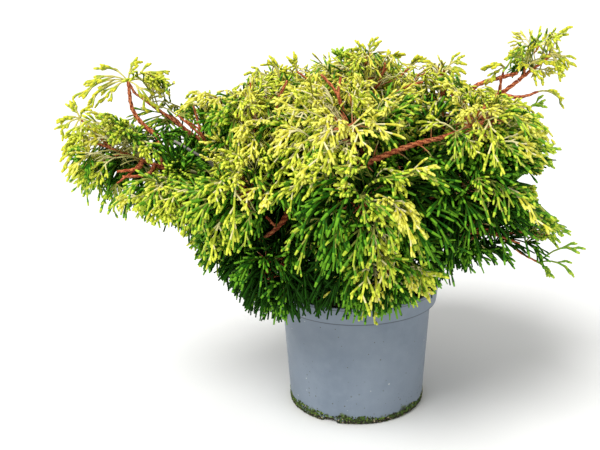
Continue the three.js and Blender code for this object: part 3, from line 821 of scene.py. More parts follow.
RINGS = [
    {"name": "skirt", "count": 7, "first": -80, "turn": 51.4, "tilt": 20 * MM, "shape": SKIRT},
    {"name": "waist", "count": 7, "first": -36, "turn": 51.4, "tilt": 4 * MM, "shape": WAIST},
    {"name": "shoulder", "count": 5, "first": 26, "turn": 60, "tilt": 8 * MM, "shape": SHOULDER},
]
SWAY = {"reach": 12 * MM, "height": 16 * MM, "leaves": 7 * MM}
SINGLES = [
    {"name": "front_arm", "bearing": -34, "habit": DENSE, "bow": 1.25, **FRONT_ARM},
    {"name": "left_high", "bearing": 178, "habit": WING, **LEFT_HIGH},
    {"name": "left_arm", "bearing": 188, "habit": WING, **LEFT_ARM},
    {"name": "left_low", "bearing": 200, "habit": WING, **LEFT_LOW},
    {"name": "right_high", "bearing": 3, "habit": OPEN, **RIGHT_HIGH},
    {"name": "right_low", "bearing": -8, "habit": OPEN, **RIGHT_LOW},
    {"name": "crest", "bearing": 0, "habit": WING, **CREST},
]
SEED_STEP = 7
FIRST_SEED = 3
RING_SEED = 100
print(sum(ring["count"] for ring in RINGS), "masses in rings and", len(SINGLES), "single ones")

# %% Seeded numbers
WORD = 0xFFFFFFFF
SEED_STRIDE = 0x6D2B79F5


def seeded(seed):
    """The model's repeatable stream of numbers from 0 to 1."""
    state = seed & WORD

    def draw():
        nonlocal state
        state = (state + SEED_STRIDE) & WORD
        t = ((state ^ (state >> 15)) * (state | 1)) & WORD
        t ^= (t + (((t ^ (t >> 7)) * (t | 61)) & WORD)) & WORD
        return (t ^ (t >> 14)) / (WORD + 1)

    return draw


# %% Curves
SMALL_STEP = 1e-4
ARC_STEPS = 200


def lerp(low, high, share):
    return low + (high - low) * share


def polar(bearing, reach, height):
    a = math.radians(bearing)
    return np.array([reach * math.cos(a), reach * math.sin(a), height])


def reach_of(radii, direction):
    """How far a space of these radii reaches from its centre in a direction."""
    return 1 / np.linalg.norm(direction / radii)


def smooth_curve(points, t):
    """The model's centripetal curve through the trunk's points."""
    last = len(points) - 1
    step = min(int(last * t), last - 1)
    share = last * t - step
    before = points[step - 1] if step else 2 * points[0] - points[1]
    after = points[step + 2] if step + 2 <= last else 2 * points[last] - points[last - 1]
    p = [before, points[step], points[step + 1], after]
    spans = [math.sqrt(np.linalg.norm(p[i + 1] - p[i])) for i in range(3)]
    slopes = []
    for i in (0, 1):
        one, two = spans[i], spans[i + 1]
        slope = (p[i + 1] - p[i]) / one - (p[i + 2] - p[i]) / (one + two) + (p[i + 2] - p[i + 1]) / two
        slopes.append(slope * spans[1])
    square = -3 * p[1] + 3 * p[2] - 2 * slopes[0] - slopes[1]
    cube = 2 * p[1] - 2 * p[2] + slopes[0] + slopes[1]
    return p[1] + slopes[0] * share + square * share ** 2 + cube * share ** 3


def bent_line(start, bend, end, t):
    """A limb's route over one bend."""
    return (1 - t) ** 2 * start + 2 * t * (1 - t) * bend + t ** 2 * end


def tangent(curve, t):
    return unit(curve(min(t + SMALL_STEP, 1)) - curve(max(t - SMALL_STEP, 0)))


# %% The trunk's axis
trunk_places = np.array([smooth_curve(TRUNK_BEND, i / ARC_STEPS) for i in range(ARC_STEPS + 1)])
trunk_walk = np.concatenate([[0], np.cumsum(np.linalg.norm(np.diff(trunk_places, axis=0), axis=1))])


def trunk_curve(t):
    return smooth_curve(TRUNK_BEND, t)


def trunk_axis_at(level):
    """The trunk's axis at a height, by its share of the climb."""
    share = min(max((level - COMPOST_TOP) / (TRUNK_TOP - COMPOST_TOP), 0), 1)
    t = np.interp(share * trunk_walk[-1], trunk_walk, np.linspace(0, 1, ARC_STEPS + 1))
    return trunk_curve(t)


print("trunk", round(trunk_walk[-1], 3), "m along its bends")


# %% The masses and their boughs
def ring_masses():
    masses = []
    for level, ring in enumerate(RINGS):
        for i in range(ring["count"]):
            draw = seeded(RING_SEED * (level + 1) + i)
            bearing = ring["first"] + ring["turn"] * i
            lift = ring["tilt"] * math.cos(math.radians(bearing))
            own = dict(ring["shape"])
            own["reach"] += SWAY["reach"] * (draw() - 0.5)
            own["height"] += lift + SWAY["height"] * (draw() - 0.5)
            own["leaves"] += SWAY["leaves"] if i % 2 else -SWAY["leaves"]
            name = ring["name"] + "_" + str(i + 1)
            masses.append({**own, "name": name, "bearing": bearing, "habit": DENSE})
    return masses


def bough_curve(mass):
    """From the trunk's axis over one bend to the place where the bough enters its mass."""
    start = trunk_axis_at(mass["leaves"])
    rise = mass["height"] - mass["leaves"]
    out = mass.get("bow", BOUGH_BOW) * mass["reach"]
    bend = polar(mass["bearing"] + mass["sweep"], out, mass["leaves"] + mass["climb"] * rise)
    inward = unit(bend - mass["centre"])
    tip = mass["centre"] + inward * BOUGH_END * reach_of(mass["radii"], inward)
    return lambda t: bent_line(start, bend, tip, t)


masses = ring_masses() + [dict(single) for single in SINGLES]
for index, mass in enumerate(masses):
    mass["centre"] = polar(mass["bearing"], mass["reach"], mass["height"])
    mass["radii"] = np.array([mass["across"], mass["across"], mass["deep"]])
    mass["outward"] = unit(mass["centre"] - CROWN_HEART)
    mass["bough"] = bough_curve(mass) if "leaves" in mass else None
    limb = mass["bough"] or trunk_curve
    root = limb(1) + tangent(limb, 1) * CLEAR
    end = mass["centre"] + mass["outward"] * STEM_REACH * reach_of(mass["radii"], mass["outward"])
    mass["stem"] = (root, end)
    mass["seed"] = SEED_STEP * index + FIRST_SEED
mass_called = {mass["name"]: mass for mass in masses}
print(len(masses), "masses,", sum(mass["bough"] is not None for mass in masses), "boughs")

# %% [markdown]
# ## Growing the leafy twigs
#
# Each mass sends twigs from its stem to points spread evenly round its centre. A twig opens into a fan of
# four ribs. A fan is kept only where it stays inside the mass's own space, clear of limbs and of its
# fellows, and is tried smaller before it is given up. That is the model's rule. A second, finer growth
# follows it in the same spaces: more directions and shorter fans, which may weave through each other.

# %% Clear of the limbs
LIMB_GAP = 2.5 * MM
LIMB_POINTS = 12

limb_starts, limb_ends, limb_reach, limb_owner = [], [], [], []
limbs = [("trunk", trunk_curve, TRUNK_FOOT_RADIUS)]
limbs += [(mass["name"], mass["bough"], BOUGH_FOOT_RADIUS) for mass in masses if mass["bough"]]
for owner, curve, radius in limbs:
    line = np.array([curve(i / LIMB_POINTS) for i in range(LIMB_POINTS + 1)])
    limb_starts.append(line[:-1])
    limb_ends.append(line[1:])
    limb_reach.append(np.full(LIMB_POINTS, radius + LIMB_GAP))
    limb_owner.extend([owner] * LIMB_POINTS)
limb_starts = np.concatenate(limb_starts)
limb_spans = np.concatenate(limb_ends) - limb_starts
limb_reach = np.concatenate(limb_reach)
limb_owner = np.array(limb_owner)


def near_limb(points, spared=None):
    """For each point, whether it lies close to a limb, other than the spared mass's own."""
    offsets = points[:, None] - limb_starts
    share = np.clip(np.sum(offsets * limb_spans, axis=2) / np.sum(limb_spans ** 2, axis=1), 0, 1)
    away = np.linalg.norm(offsets - share[..., None] * limb_spans, axis=2)
    close = away < limb_reach
    if spared is not None:
        close &= limb_owner != spared
    return close.any(axis=1)


def along_lines(starts, ends, shares):
    return (starts[:, None] + (ends - starts)[:, None] * shares[:, None]).reshape(-1, 3)


print(len(limbs), "limbs to keep clear of")

# %% The space of each mass
POT_GAP = 3 * MM
SPACE_SLACK = 1.1
SPACE_GAP = 1 * MM

for mass in masses:
    normals, constants = [], []
    for other in masses:
        if other is mass:
            continue
        inward = mass["centre"] - other["centre"]
        share = mass["across"] / (mass["across"] + other["across"])
        middle = mass["centre"] - inward * share
        normals.append(unit(inward))
        constants.append(-np.dot(unit(inward), middle) - SPACE_GAP)
    mass["planes"] = (np.array(normals), np.array(constants))
print(len(masses) - 1, "planes part each mass from its neighbours")


def share_out(points, mass):
    """How far out in a mass each point lies: 1 on its radii, less inside."""
    return np.linalg.norm((points - mass["centre"]) / mass["radii"], axis=1)


def at_pot(points):
    out = np.hypot(points[:, 0], points[:, 1])
    return (points[:, 2] <= POT_HEIGHT + POT_GAP) & (out < POT_RADIUS + POT_GAP)


def in_space(points, mass):
    """For each point, whether it lies in the mass's own space: in its radii, clear of the pot, on its
    side of the planes that part it from its neighbours."""
    normals, constants = mass["planes"]
    parted = (points @ normals.T + constants > 0).all(axis=1)
    return (share_out(points, mass) < SPACE_SLACK) & ~at_pot(points) & parted


# %% The crown as one space
BLEND_REACH = 1.5  # a mass still counts this far out, as a share of its radii
CROWN_SLACK = 0.92


def in_crown(points):
    """For each point, whether it lies in the crown: the masses' spaces, with the clefts between them
    filled where two or three of them are close, and clear of the pot."""
    closeness = sum(np.clip(BLEND_REACH - share_out(points, mass), 0, None) ** 2 for mass in masses)
    return (closeness > (BLEND_REACH - CROWN_SLACK) ** 2) & ~at_pot(points)


# %% One fan
SPRAY_TEETH = 4
SPRAY_NOTCH = 0.7
SPRAY_ROUND = 0.9
SPRAY_SPREAD = math.radians(112)
OUTLINE = np.linspace(-0.5, 0.5, 2 * SPRAY_TEETH - 1)
OUTLINE_SHARES = (1 - SPRAY_ROUND * OUTLINE ** 2) * np.where(np.arange(len(OUTLINE)) % 2, SPRAY_NOTCH, 1)
OUTLINE_WAYS = np.stack([np.cos(OUTLINE * SPRAY_SPREAD), np.sin(OUTLINE * SPRAY_SPREAD)], axis=1)


def fan_outline(fan):
    ways = OUTLINE_WAYS @ np.array([fan["along"], fan["across"]])
    return fan["hub"] + fan["length"] * OUTLINE_SHARES[:, None] * ways


def fan_lines(fan):
    """The starts and ends of a fan's ribs, and of its stalk as the last line."""
    tips = fan_outline(fan)[::2]
    starts = np.vstack([np.repeat(fan["hub"][None], len(tips), axis=0), fan["root"]])
    return starts, np.vstack([tips, fan["hub"]])


# %% Whether a fan has room
NEAR_SAMPLES = np.array([0.1, 0.25, 0.4, 0.55, 0.7, 0.85, 1.0])
WEAVE_REACH = {"dense": 1.25, "wing": 0.85, "open": 0.75}


def crosses(one, other):
    """Whether a rib or the stalk of one fan runs through the other fan."""
    up = np.cross(other["along"], other["across"])
    starts, ends = fan_lines(one)
    before = (starts - other["hub"]) @ up
    after = (ends - other["hub"]) @ up
    meets = before * after <= 0
    gap = np.where(before == after, 1, before - after)
    at = starts + (ends - starts) * (before / gap)[:, None] - other["hub"]
    far = np.linalg.norm(at, axis=1)
    facing = at @ other["along"] > far * math.cos(SPRAY_SPREAD / 2)
    return bool((meets & (far < other["length"]) & facing).any())


def fan_fits(fan, mass, fellows, weave):
    outline = fan_outline(fan)
    if weave:
        too_far = share_out(outline, mass) > WEAVE_REACH[mass["habit"]["kind"]]
        if too_far.any() or not in_crown(outline).all():
            return False
    elif not in_space(outline, mass).all():
        return False
    starts, ends = fan_lines(fan)
    if near_limb(along_lines(starts[:-1], ends[:-1], NEAR_SAMPLES)).any():
        return False
    if near_limb(along_lines(starts[-1:], ends[-1:], NEAR_SAMPLES), spared=mass["name"]).any():
        return False
    return weave or not any(crosses(fan, other) or crosses(other, fan) for other in fellows)


# %% The twigs of a mass
TWIG_START = 0.35
TWIG_STRIDE = 7
TWIG_WANDER = 0.5
SPRAY_LEAN = 0.5
SPRAY_DROOP = 0.3
SPRAY_ROLL = 1.6
SPRAY_SIZES = (1, 0.8, 0.62)
GOLDEN_TURN = math.pi * (3 - math.sqrt(5))


def twig_direction(index, count, draw):
    z = 1 - (2 * index + 1) / count
    a = GOLDEN_TURN * index + TWIG_WANDER * draw()
    r = math.sqrt(1 - z * z)
    return np.array([r * math.cos(a), r * math.sin(a), z])


def grow_mass(mass, growth, directions, most, back, weave):
    """The leafy twigs of a mass. With weave, fans may cross each other."""
    draw = seeded(growth["seed"] + mass["seed"])
    stem_root, stem_end = mass["stem"]
    fans = []
    for i in range(directions):
        if len(fans) >= most:
            break
        direction = twig_direction((i * TWIG_STRIDE) % directions, directions, draw)
        start, roll, lean, size = draw(), draw(), draw(), draw()
        if np.dot(direction, mass["outward"]) < back:
            continue
        along = unit(direction + mass["outward"] * SPRAY_LEAN * lean + DOWN * SPRAY_DROOP)
        across = unit(np.cross(UP, along))
        across = turned(across, along, np.array(SPRAY_ROLL * (roll - 0.5)))
        full = min(growth["longest"], lerp(*growth["reach"], size) * reach_of(mass["radii"], along))
        hub = mass["centre"] + direction * growth["twig_reach"] * reach_of(mass["radii"], direction)
        for part in SPRAY_SIZES:
            fan = {
                "root": lerp(stem_root, stem_end, lerp(TWIG_START, 1, start)),
                "hub": hub, "along": along, "across": across, "length": part * full, "mass": mass,
            }
            if fan_fits(fan, mass, fans, weave):
                fans.append(fan)
                break
    return fans


# %% The model's growth
MODEL_GROWTH = {"seed": 0, "twig_reach": 0.3, "reach": (0.67, 0.85), "longest": 84 * MM}

fans = []
for mass in masses:
    habit = mass["habit"]
    limits = [habit[label] for label in ("directions", "sprays", "back")]
    grown = grow_mass(mass, MODEL_GROWTH, *limits, weave=False)
    tips = np.concatenate([fan_outline(fan) for fan in grown])
    low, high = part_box("foliage_" + mass["name"])
    mass["overreach"] = max((tips.max(0) - high).max(), (np.array(low) - tips.min(0)).max())
    fans += grown
model_fans = len(fans)
overreach = max(mass["overreach"] for mass in masses)
print(model_fans, "fans by the model's rule, at most", round(overreach / MM, 2), "mm out of their nodes")

# %% The finer growth
FINE = {"seed": 5000, "twig_reach": 0.5, "reach": (0.45, 0.62), "longest": 62 * MM}
HEART = {"seed": 9000, "twig_reach": 0.2, "reach": (0.4, 0.52), "longest": 50 * MM}
FINE_DIRECTIONS = {"dense": (26, 12), "wing": (26, 20), "open": (12, 4)}
ALL_ROUND = -1

for mass in masses:
    for growth, directions in zip((FINE, HEART), FINE_DIRECTIONS[mass["habit"]["kind"]]):
        fans += grow_mass(mass, growth, directions, directions, ALL_ROUND, weave=True)
fine_fans = len(fans) - model_fans
print(fine_fans, "finer fans")

# %% Twigs along the boughs
BOUGH_TWIGS = 10
BOUGH_TWIG_SPAN = (0.3, 0.95)
BOUGH_TWIG_REACH = 22 * MM
BOUGH_FAN_LENGTH = (38.4 * MM, 48 * MM)
BOUGH_FAN_LEAN = 0.7
INNER_SEED = 12000

for mass in masses:
    if not mass["bough"]:
        continue
    draw = seeded(INNER_SEED + mass["seed"])
    for i in range(BOUGH_TWIGS):
        t = lerp(*BOUGH_TWIG_SPAN, i / (BOUGH_TWIGS - 1))
        root = mass["bough"](t)
        ahead = tangent(mass["bough"], t)
        aside = unit(np.cross(ahead, UP))
        aside = turned(aside, ahead, np.array(GOLDEN_TURN * i + draw()))
        direction = unit(aside + BOUGH_FAN_LEAN * ahead)
        across = unit(np.cross(UP, direction))
        across = turned(across, direction, np.array(SPRAY_ROLL * (draw() - 0.5)))
        hub = root + direction * BOUGH_TWIG_REACH
        fan = {"root": root, "hub": hub, "along": direction, "across": across,
               "length": lerp(*BOUGH_FAN_LENGTH, draw()), "mass": mass, "inner": True}
        if mass["habit"] is WING or in_crown(fan_outline(fan)).all():
            fans.append(fan)
print(len(fans) - model_fans - fine_fans, "fans along the boughs")

# %% [markdown]
# ## Limbs that show
#
# Here and there the crown is open to the wood: the front arm lies bare on the foliage, the wing's two
# arms and the right-hand arm stand clear of it, and a few leafless twigs and a dead grey one are left.
# Each bare twig leaves a bough and follows a few chosen points. Sprays that would hide a bare limb from
# the front are left out.

# %% Bare twigs
SHOOT_RADII = (1.5, 1.1)
BARE_TWIGS = [  # limb, its share there, radii at both ends, the points it passes, if it is dead
    ("waist_6", 0.9, (3.1, 2.0), [(-70, -98, 255), (-84, -114, 241), (-99, -116, 231)]),
    ("waist_6", 0.94, (2.4, 1.4), [(-74, -100, 254), (-82, -114, 246), (-92, -118, 257)]),
    ("left_high", 0.72, (2.4, 1.0), [(-160, -40, 312), (-164, -58, 330), (-171, -62, 362)]),
    ("left_high", 0.72, (2.2, 0.9), [(-160, -40, 312), (-164, -58, 328), (-187, -64, 352)]),
    ("left_high", 0.72, (1.8, 0.8), [(-160, -40, 312), (-166, -59, 336), (-180, -62, 347)]),
    ("left_low", 0.8, (1.8, 1.4), [(-156, -58, 300), (-172, -66, 313), (-192, -68, 326)], True),
    ("shoulder_5", 0.95, (2.6, 1.3), [(-10, -88, 350), (-20, -86, 378), (-36, -84, 397)]),
    ("shoulder_5", 0.95, (2.4, 1.2), [(-10, -88, 350), (-18, -86, 376), (-16, -82, 394)]),
    ("right_high", 0.84, (1.8, 1.0), [(162, 8, 372), (160, 6, 384)]),
    ("shoulder_4", 0.95, (2.2, 1.2), [(-84, -56, 362), (-77, -60, 378), (-72, -58, 388)]),
    ("crest", 1.2, (1.8, 1.1), [(40, -30, 370), (57, -50, 382), (70, -56, 386)]),
    ("crest", 1.3, (1.7, 1.0), [(22, -8, 375), (29, -20, 393), (31, -24, 403)]),
    ("left_arm", 1.1, (3.2, 1.8), [(-224, -4, 318), (-240, 2, 331), (-252, 5, 349), (-256, 8, 381)]),
    ("right_high", 0.6, (2.9, 2.0), [(130, 8, 371), (155, 8, 382), (180, 8, 389)]),
    ("left_arm", 1.4, (2.6, 1.3), [(-236, -54, 293), (-257, -60, 291)]),
    ("left_arm", 1.2, (2.6, 1.3), [(-226, -52, 286), (-252, -58, 285)]),
    ("right_low", 0.6, (1.6, 0.9), [(124, -30, 216), (132, -54, 226), (148, -64, 228)]),
    ("right_low", 0.75, (1.5, 0.9), [(142, -40, 218), (164, -54, 215), (180, -58, 210)]),
]


def twig_curve(points):
    return lambda t: smooth_curve(points, t)


def placed_twig(limb, share, points, radii=SHOOT_RADII, dead=False):
    """A twig that leaves a bough, or past the bough's end the stem that carries it on."""
    mass = mass_called[limb]
    root = mass["bough"](share) if share <= 1 else lerp(*mass["stem"], share - 1)
    return {"curve": twig_curve(np.vstack([root, np.array(points) * MM])), "radii": radii, "dead": dead}


bare_twigs = []
for limb, share, radii, points, *dead in BARE_TWIGS:
    bare_twigs.append(placed_twig(limb, share, points, radii, *dead))
print(len(bare_twigs), "bare twigs")

# %% Clearings in front of the bare limbs
BARE_STRETCHES = [  # a limb's name, the share where it comes into view, and half the clearing's width
    ("front_arm", 0.55, 9 * MM), ("left_high", 0.9, 6 * MM), ("left_arm", 0.95, 6 * MM),
    ("right_high", 0.72, 12 * MM),
]
BARE_STEMS = ("left_high", "left_arm", "right_high")
STEM_CLEARING = 5 * MM
TWIG_CLEARING = 6 * MM
TWIG_SHOWS_FROM = 0.3
CLEARING_STEP = 0.04
OUTLOOK = unit(np.array([0.0, -1.0, 0.25]))
CLEAR_BEHIND = 4 * MM
CLEAR_AHEAD = 90 * MM

clear_places, clear_widths = [], []


def keep_clear(curve, first, width):
    for t in np.arange(first, 1 + SMALL_STEP, CLEARING_STEP):
        clear_places.append(curve(min(t, 1)))
        clear_widths.append(width)


for name, first, width in BARE_STRETCHES:
    keep_clear(mass_called[name]["bough"], first, width)
for name in BARE_STEMS:
    keep_clear(twig_curve(np.linspace(*mass_called[name]["stem"], 3)), 0, STEM_CLEARING)
for twig in bare_twigs:
    keep_clear(twig["curve"], TWIG_SHOWS_FROM, TWIG_CLEARING)
clear_places, clear_widths = np.array(clear_places), np.array(clear_widths)


def hides_wood(points):
    """For each point, whether it lies in front of a bare limb."""
    offsets = points[:, None] - clear_places
    ahead = offsets @ OUTLOOK
    aside = np.linalg.norm(offsets - ahead[..., None] * OUTLOOK, axis=2)
    return ((aside < clear_widths) & (ahead > -CLEAR_BEHIND) & (ahead < CLEAR_AHEAD)).any(axis=1)


print(len(clear_places), "places are kept clear")

# %% Open sky under the raised arms
OPEN_BELOW = {  # how far out it begins, and how far under the middle fans may still sit
    "left_high": (212 * MM, 2 * MM), "right_high": (140 * MM, 8 * MM),
}
STALK_SHARES = np.linspace(0.2, 1, 5)


def shows_sky(fan):
    """Whether a fan or its twig would close a window, or the open space under a raised arm."""
    mass = fan["mass"]
    if in_window(along_lines(fan["root"][None], fan["hub"][None], STALK_SHARES)).any():
        return True
    if mass["name"] not in OPEN_BELOW:
        return False
    first, drop = OPEN_BELOW[mass["name"]]
    return np.hypot(*fan["hub"][:2]) > first and fan["hub"][2] < mass["centre"][2] - drop


print("open sky under", *OPEN_BELOW)

# %% [markdown]
# ## Single shoots
#
# The ends of the long arms break up into a few strong shoots that stand free against the sky, and smaller
# ones stand over the top of the crown and at its right. They are set one by one: the limb each leaves, the
# points it passes, and the way and length of each spray. Past 1, the share runs on along the mass's stem.

# %% Single shoots
SHOOTS = [  # limb, its share there, kind, points; then each spray's way and its length in mm
    ("left_arm", 1.9, "gold_tips", [(-286, -36, 330), (-300, -34, 344)], [
        (-1, -0.1, 0.1, 19), (-0.8, -0.5, -0.4, 24), (-0.3, -0.6, -0.8, 28), (0.2, -0.5, -0.9, 26),
        (-0.4, 0, 0.9, 15), (0.6, -0.3, -0.3, 26), (0.3, -0.3, 0.5, 16),
    ]),
    ("left_arm", 2.0, "gold_tips", [(-284, -38, 318), (-293, -38, 321)], [
        (-1, -0.1, -0.35, 28), (-0.7, -0.5, -0.7, 34), (-0.2, -0.8, -0.5, 32),
    ]),
    ("left_arm", 1.7, "green", [(-268, -48, 304), (-282, -50, 298)], [
        (-0.7, -0.2, -0.8, 30), (-0.3, -0.4, -0.9, 32), (-1, -0.1, -0.5, 28), (0.2, -0.3, -0.9, 34),
    ]),
    ("left_arm", 1.4, "green", [(-244, -56, 288), (-258, -60, 278)], [
        (-0.6, -0.2, -0.8, 28), (-0.1, -0.4, -0.9, 28), (0.4, -0.3, -0.9, 30),
    ]),
    ("left_high", 1.95, "gold_tips", [(-253, 8, 374), (-256, 8, 380)], [
        (0.35, 0, 1, 24), (-0.8, 0, 0.6, 30), (-1, -0.2, 0.1, 42), (0.9, -0.1, 0.25, 44),
        (-1, -0.15, -0.2, 56), (-0.9, -0.4, -0.35, 48), (-0.7, -0.5, -0.45, 34), (0.9, -0.3, -0.1, 44),
        (0.7, -0.4, -0.5, 40),
    ]),
    ("left_high", 0.85, "green", [(-190, 24, 318), (-202, 28, 326)], [
        (-0.8, -0.4, 0.2, 40), (-0.5, -0.5, -0.6, 40), (0.3, -0.5, -0.7, 38), (0.2, -0.3, 0.6, 30),
    ]),
    ("left_high", 0.95, "green", [(-210, 26, 336), (-222, 28, 340)], [
        (-0.9, -0.3, 0.0, 38), (-0.6, -0.5, -0.6, 38), (0.2, -0.5, -0.7, 36),
    ]),
    ("left_high", 0.75, "shade", [(-170, 22, 306), (-178, 28, 312)], [
        (-0.8, -0.4, -0.3, 44), (-0.2, -0.5, -0.8, 44), (0.5, -0.5, -0.5, 40), (0.1, -0.2, 0.8, 36),
    ]),
    ("right_high", 0.85, "gold_tips", [(163, 12, 382), (166, 12, 395)], [
        (-1, 0, 0.1, 20), (-0.8, -0.3, -0.6, 22), (-0.5, -0.4, 0.2, 16),
    ]),
    ("right_high", 1.2, "gold_tips", [(188, 9, 392), (189, 7, 396)], [
        (0.2, -0.3, 1, 24), (-0.7, -0.2, 0.7, 24), (0.8, -0.3, 0.3, 26), (0.6, -0.6, -0.4, 22),
        (-0.3, -0.7, 0.2, 20),
    ]),
    ("right_high", 0.88, "gold_tips", [(176, 6, 363), (190, 4, 364), (203, 2, 369)], [
        (1, 0, -0.2, 27),
    ], (2.4, 1.3)),
    ("right_high", 1.95, "gold_tips", [(215, 11, 408), (216, 11, 410)], [
        (0.45, 0, 1, 32), (0.9, 0, -0.35, 26), (0.3, -0.5, -0.6, 24),
    ]),
    ("right_low", 1.0, "green_tips", [(186, -24, 190), (208, -28, 178)], [
        (1, 0, 0.55, 46), (1, 0, -0.15, 38), (0.8, -0.2, -0.7, 14),
    ]),
    ("right_low", 1.3, "green_tips", [(192, -24, 214), (206, -26, 215)], [
        (1, 0, 0.05, 26), (0.9, -0.2, -0.3, 20), (0.8, 0.2, 0.4, 18),
    ]),
    ("shoulder_3", 1.5, "gold_tips", [(-100, 30, 373), (-97, 0, 385)], [(-1, -0.1, 0.35, 20)]),
    ("shoulder_3", 1.5, "gold_tips", [(-88, 25, 371), (-85, 5, 383)], [
        (-0.45, -0.1, 1, 23), (0.2, -0.4, 0.8, 13),
    ]),
    ("crest", 1.4, "gold_tips", [(-50, 5, 380), (-66, 5, 391)], [(-0.2, -0.1, 1, 13)]),
    ("crest", 1.7, "green_tips", [(-15, 8, 382), (-19, 10, 395)], [
        (-0.15, 0, 1, 16), (0.1, -0.2, 1, 17), (0.3, 0, 1, 16),
    ]),
    ("crest", 1.9, "gold_tips", [(10, 8, 395), (11, 10, 404)], [
        (0.4, 0, 1, 20), (-0.55, 0, 0.9, 17), (-1, -0.2, 0.45, 16),
    ]),
    ("crest", 1.8, "gold_tips", [(28, 5, 388), (36, 5, 398)], [(0.6, -0.1, 0.85, 15), (-0.2, -0.2, 1, 11)]),
    ("crest", 1.6, "gold_tips", [(45, 5, 383), (58, 5, 394)], [(0.65, 0, 0.85, 16), (0.85, -0.1, 0.6, 20)]),
    ("shoulder_1", 1.5, "gold_tips", [(96, 20, 380), (98, 0, 393)], [
        (0.9, -0.1, 0.7, 21), (0.9, -0.3, 0.1, 15),
    ]),
    ("shoulder_1", 1.5, "gold_tips", [(98, 10, 365), (102, 0, 376)], [(1, -0.2, 0.15, 20)]),
    ("right_high", 0.7, "green_tips", [(172, 8, 330), (188, 10, 340)], [
        (1, -0.1, 0.95, 26), (1, -0.3, 0.1, 16),
    ]),
    ("right_low", 0.7, "green_tips", [(180, 4, 268), (198, 10, 286)], [
        (1, 0, 0.75, 34), (1, -0.2, 0.1, 22),
    ]),
]

# %% Placing the single shoots
shoots = []
for limb, share, kind, points, sprays, *radii in SHOOTS:
    shoot = placed_twig(limb, share, points, *radii)
    shoots.append({**shoot, "kind": kind, "sprays": sprays})
print(len(shoots), "single shoots with", sum(len(shoot["sprays"]) for shoot in shoots), "sprays")

# %% [markdown]
# ## The crown's outline
#
# The plant isn't round: a long wing to the left, a foot of long tips to the right, a low saddle between
# wing and crown. These stations are measured across it, as it is seen from the front: how low and how
# high it reaches there. A few windows are open to the sky. Sprays that would pass the outline or close
# a window are grown shorter, or left out.

# %% The crown's outline
CROWN_REACH = np.array([  # across, lowest, highest, all in mm at the depth of the pot's axis
    (-336, 264, 346), (-318, 256, 366), (-300, 248, 382), (-280, 228, 397), (-250, 221, 400),
    (-214, 212, 390), (-205, 200, 380), (-190, 164, 371), (-150, 136, 369), (-128, 95, 372),
    (-114, 91, 386), (-93, 91, 395), (-60, 91, 405), (-35, 91, 408), (-12, 91, 413), (10, 91, 417),
    (30, 95, 409), (46, 102, 402), (66, 112, 410), (90, 116, 405), (106, 144, 398), (116, 151, 391),
    (122, 153, 378), (150, 164, 369), (172, 161, 363), (190, 163, 355), (205, 160, 343),
    (218, 160, 329), (228, 158, 306), (236, 156, 216), (266, 146, 208),
]) * MM
RAISED = {"right_high"}  # it stands free over the crown, in the space between these two corners
RAISED_SPACE = np.array([(136, 384), (233, 441)]) * MM
WINDOWS = np.array([  # across, height, half the width, half the height
    (238, 258, 30, 34), (236, 190, 21, 9), (197, 268, 12, 7), (-284, 354, 24, 8), (-241, 363, 11, 7),
    (-200, 366, 9, 12),
]) * MM


def seen_from_front(points):
    """Places as the eye sees them on the upright plane through the pot's axis: across and height."""
    share = EYE.y / (EYE.y - points[..., 1])
    return points[..., 0] * share, EYE.z + (points[..., 2] - EYE.z) * share


def in_window(points):
    """For each point, whether it is seen in one of the windows."""
    across, level = seen_from_front(points)
    away = [np.hypot((across - middle) / half_width, (level - height) / half_height)
            for middle, height, half_width, half_height in WINDOWS]
    return np.min(away, axis=0) < 1


def in_outline(points, slack, raised):
    """For each point, whether it lies in the outline, passing it by no more than its slack."""
    across, level = seen_from_front(points)
    (left, lowest), (right, highest) = RAISED_SPACE
    standing_free = raised & (across > left) & (across < right) & (level > lowest) & (level < highest)
    stations, low, high = CROWN_REACH.T
    over = level - np.interp(across, stations, low) > -slack
    under = np.interp(across, stations, high) - level > -slack
    inside = over & under & (across > stations[0] - slack) & (across < stations[-1] + slack)
    return inside & ~in_window(points) & ~raised | standing_free


print("crown from", round(CROWN_REACH[0, 0], 3), "to", round(CROWN_REACH[-1, 0], 3), "m across")

# %% [markdown]
# ## Axes of the sprays
#
# A fan's four ribs are the axes of four flat sprays that leave one point, arch over and droop, as the
# real plant's do. The lower a spray hangs on the crown, the more it droops; at the right flank the sprays
# lean outward instead, and a few at the top still point up.

# %% Axes of all sprays
FOLIAGE_SEED = 11
ARCH = (0.08, 0.28)
DROOP_LOW = 0.36
DROOP_HIGH = 0.12
DROOP_VARIES = 0.16
TILT_VARIES = 0.35
HEIGHTS = (-0.35, 0.9)  # how steeply a spray lies over the crown's heart, at its foot and at its top
TOP_STARTS = 0.72  # from this share of the crown's height the sprays grow every way
FLANK = (80 * MM, 170 * MM)  # where the right flank begins, and where it grows fully outward
FLANK_LEAN = np.array([1, 0, 0.3])
FLANK_LIFT = 0.8


def progress(values, low, high):
    """How far values have come from low to high, from 0 to 1."""
    return np.clip((values - low) / (high - low), 0, 1)


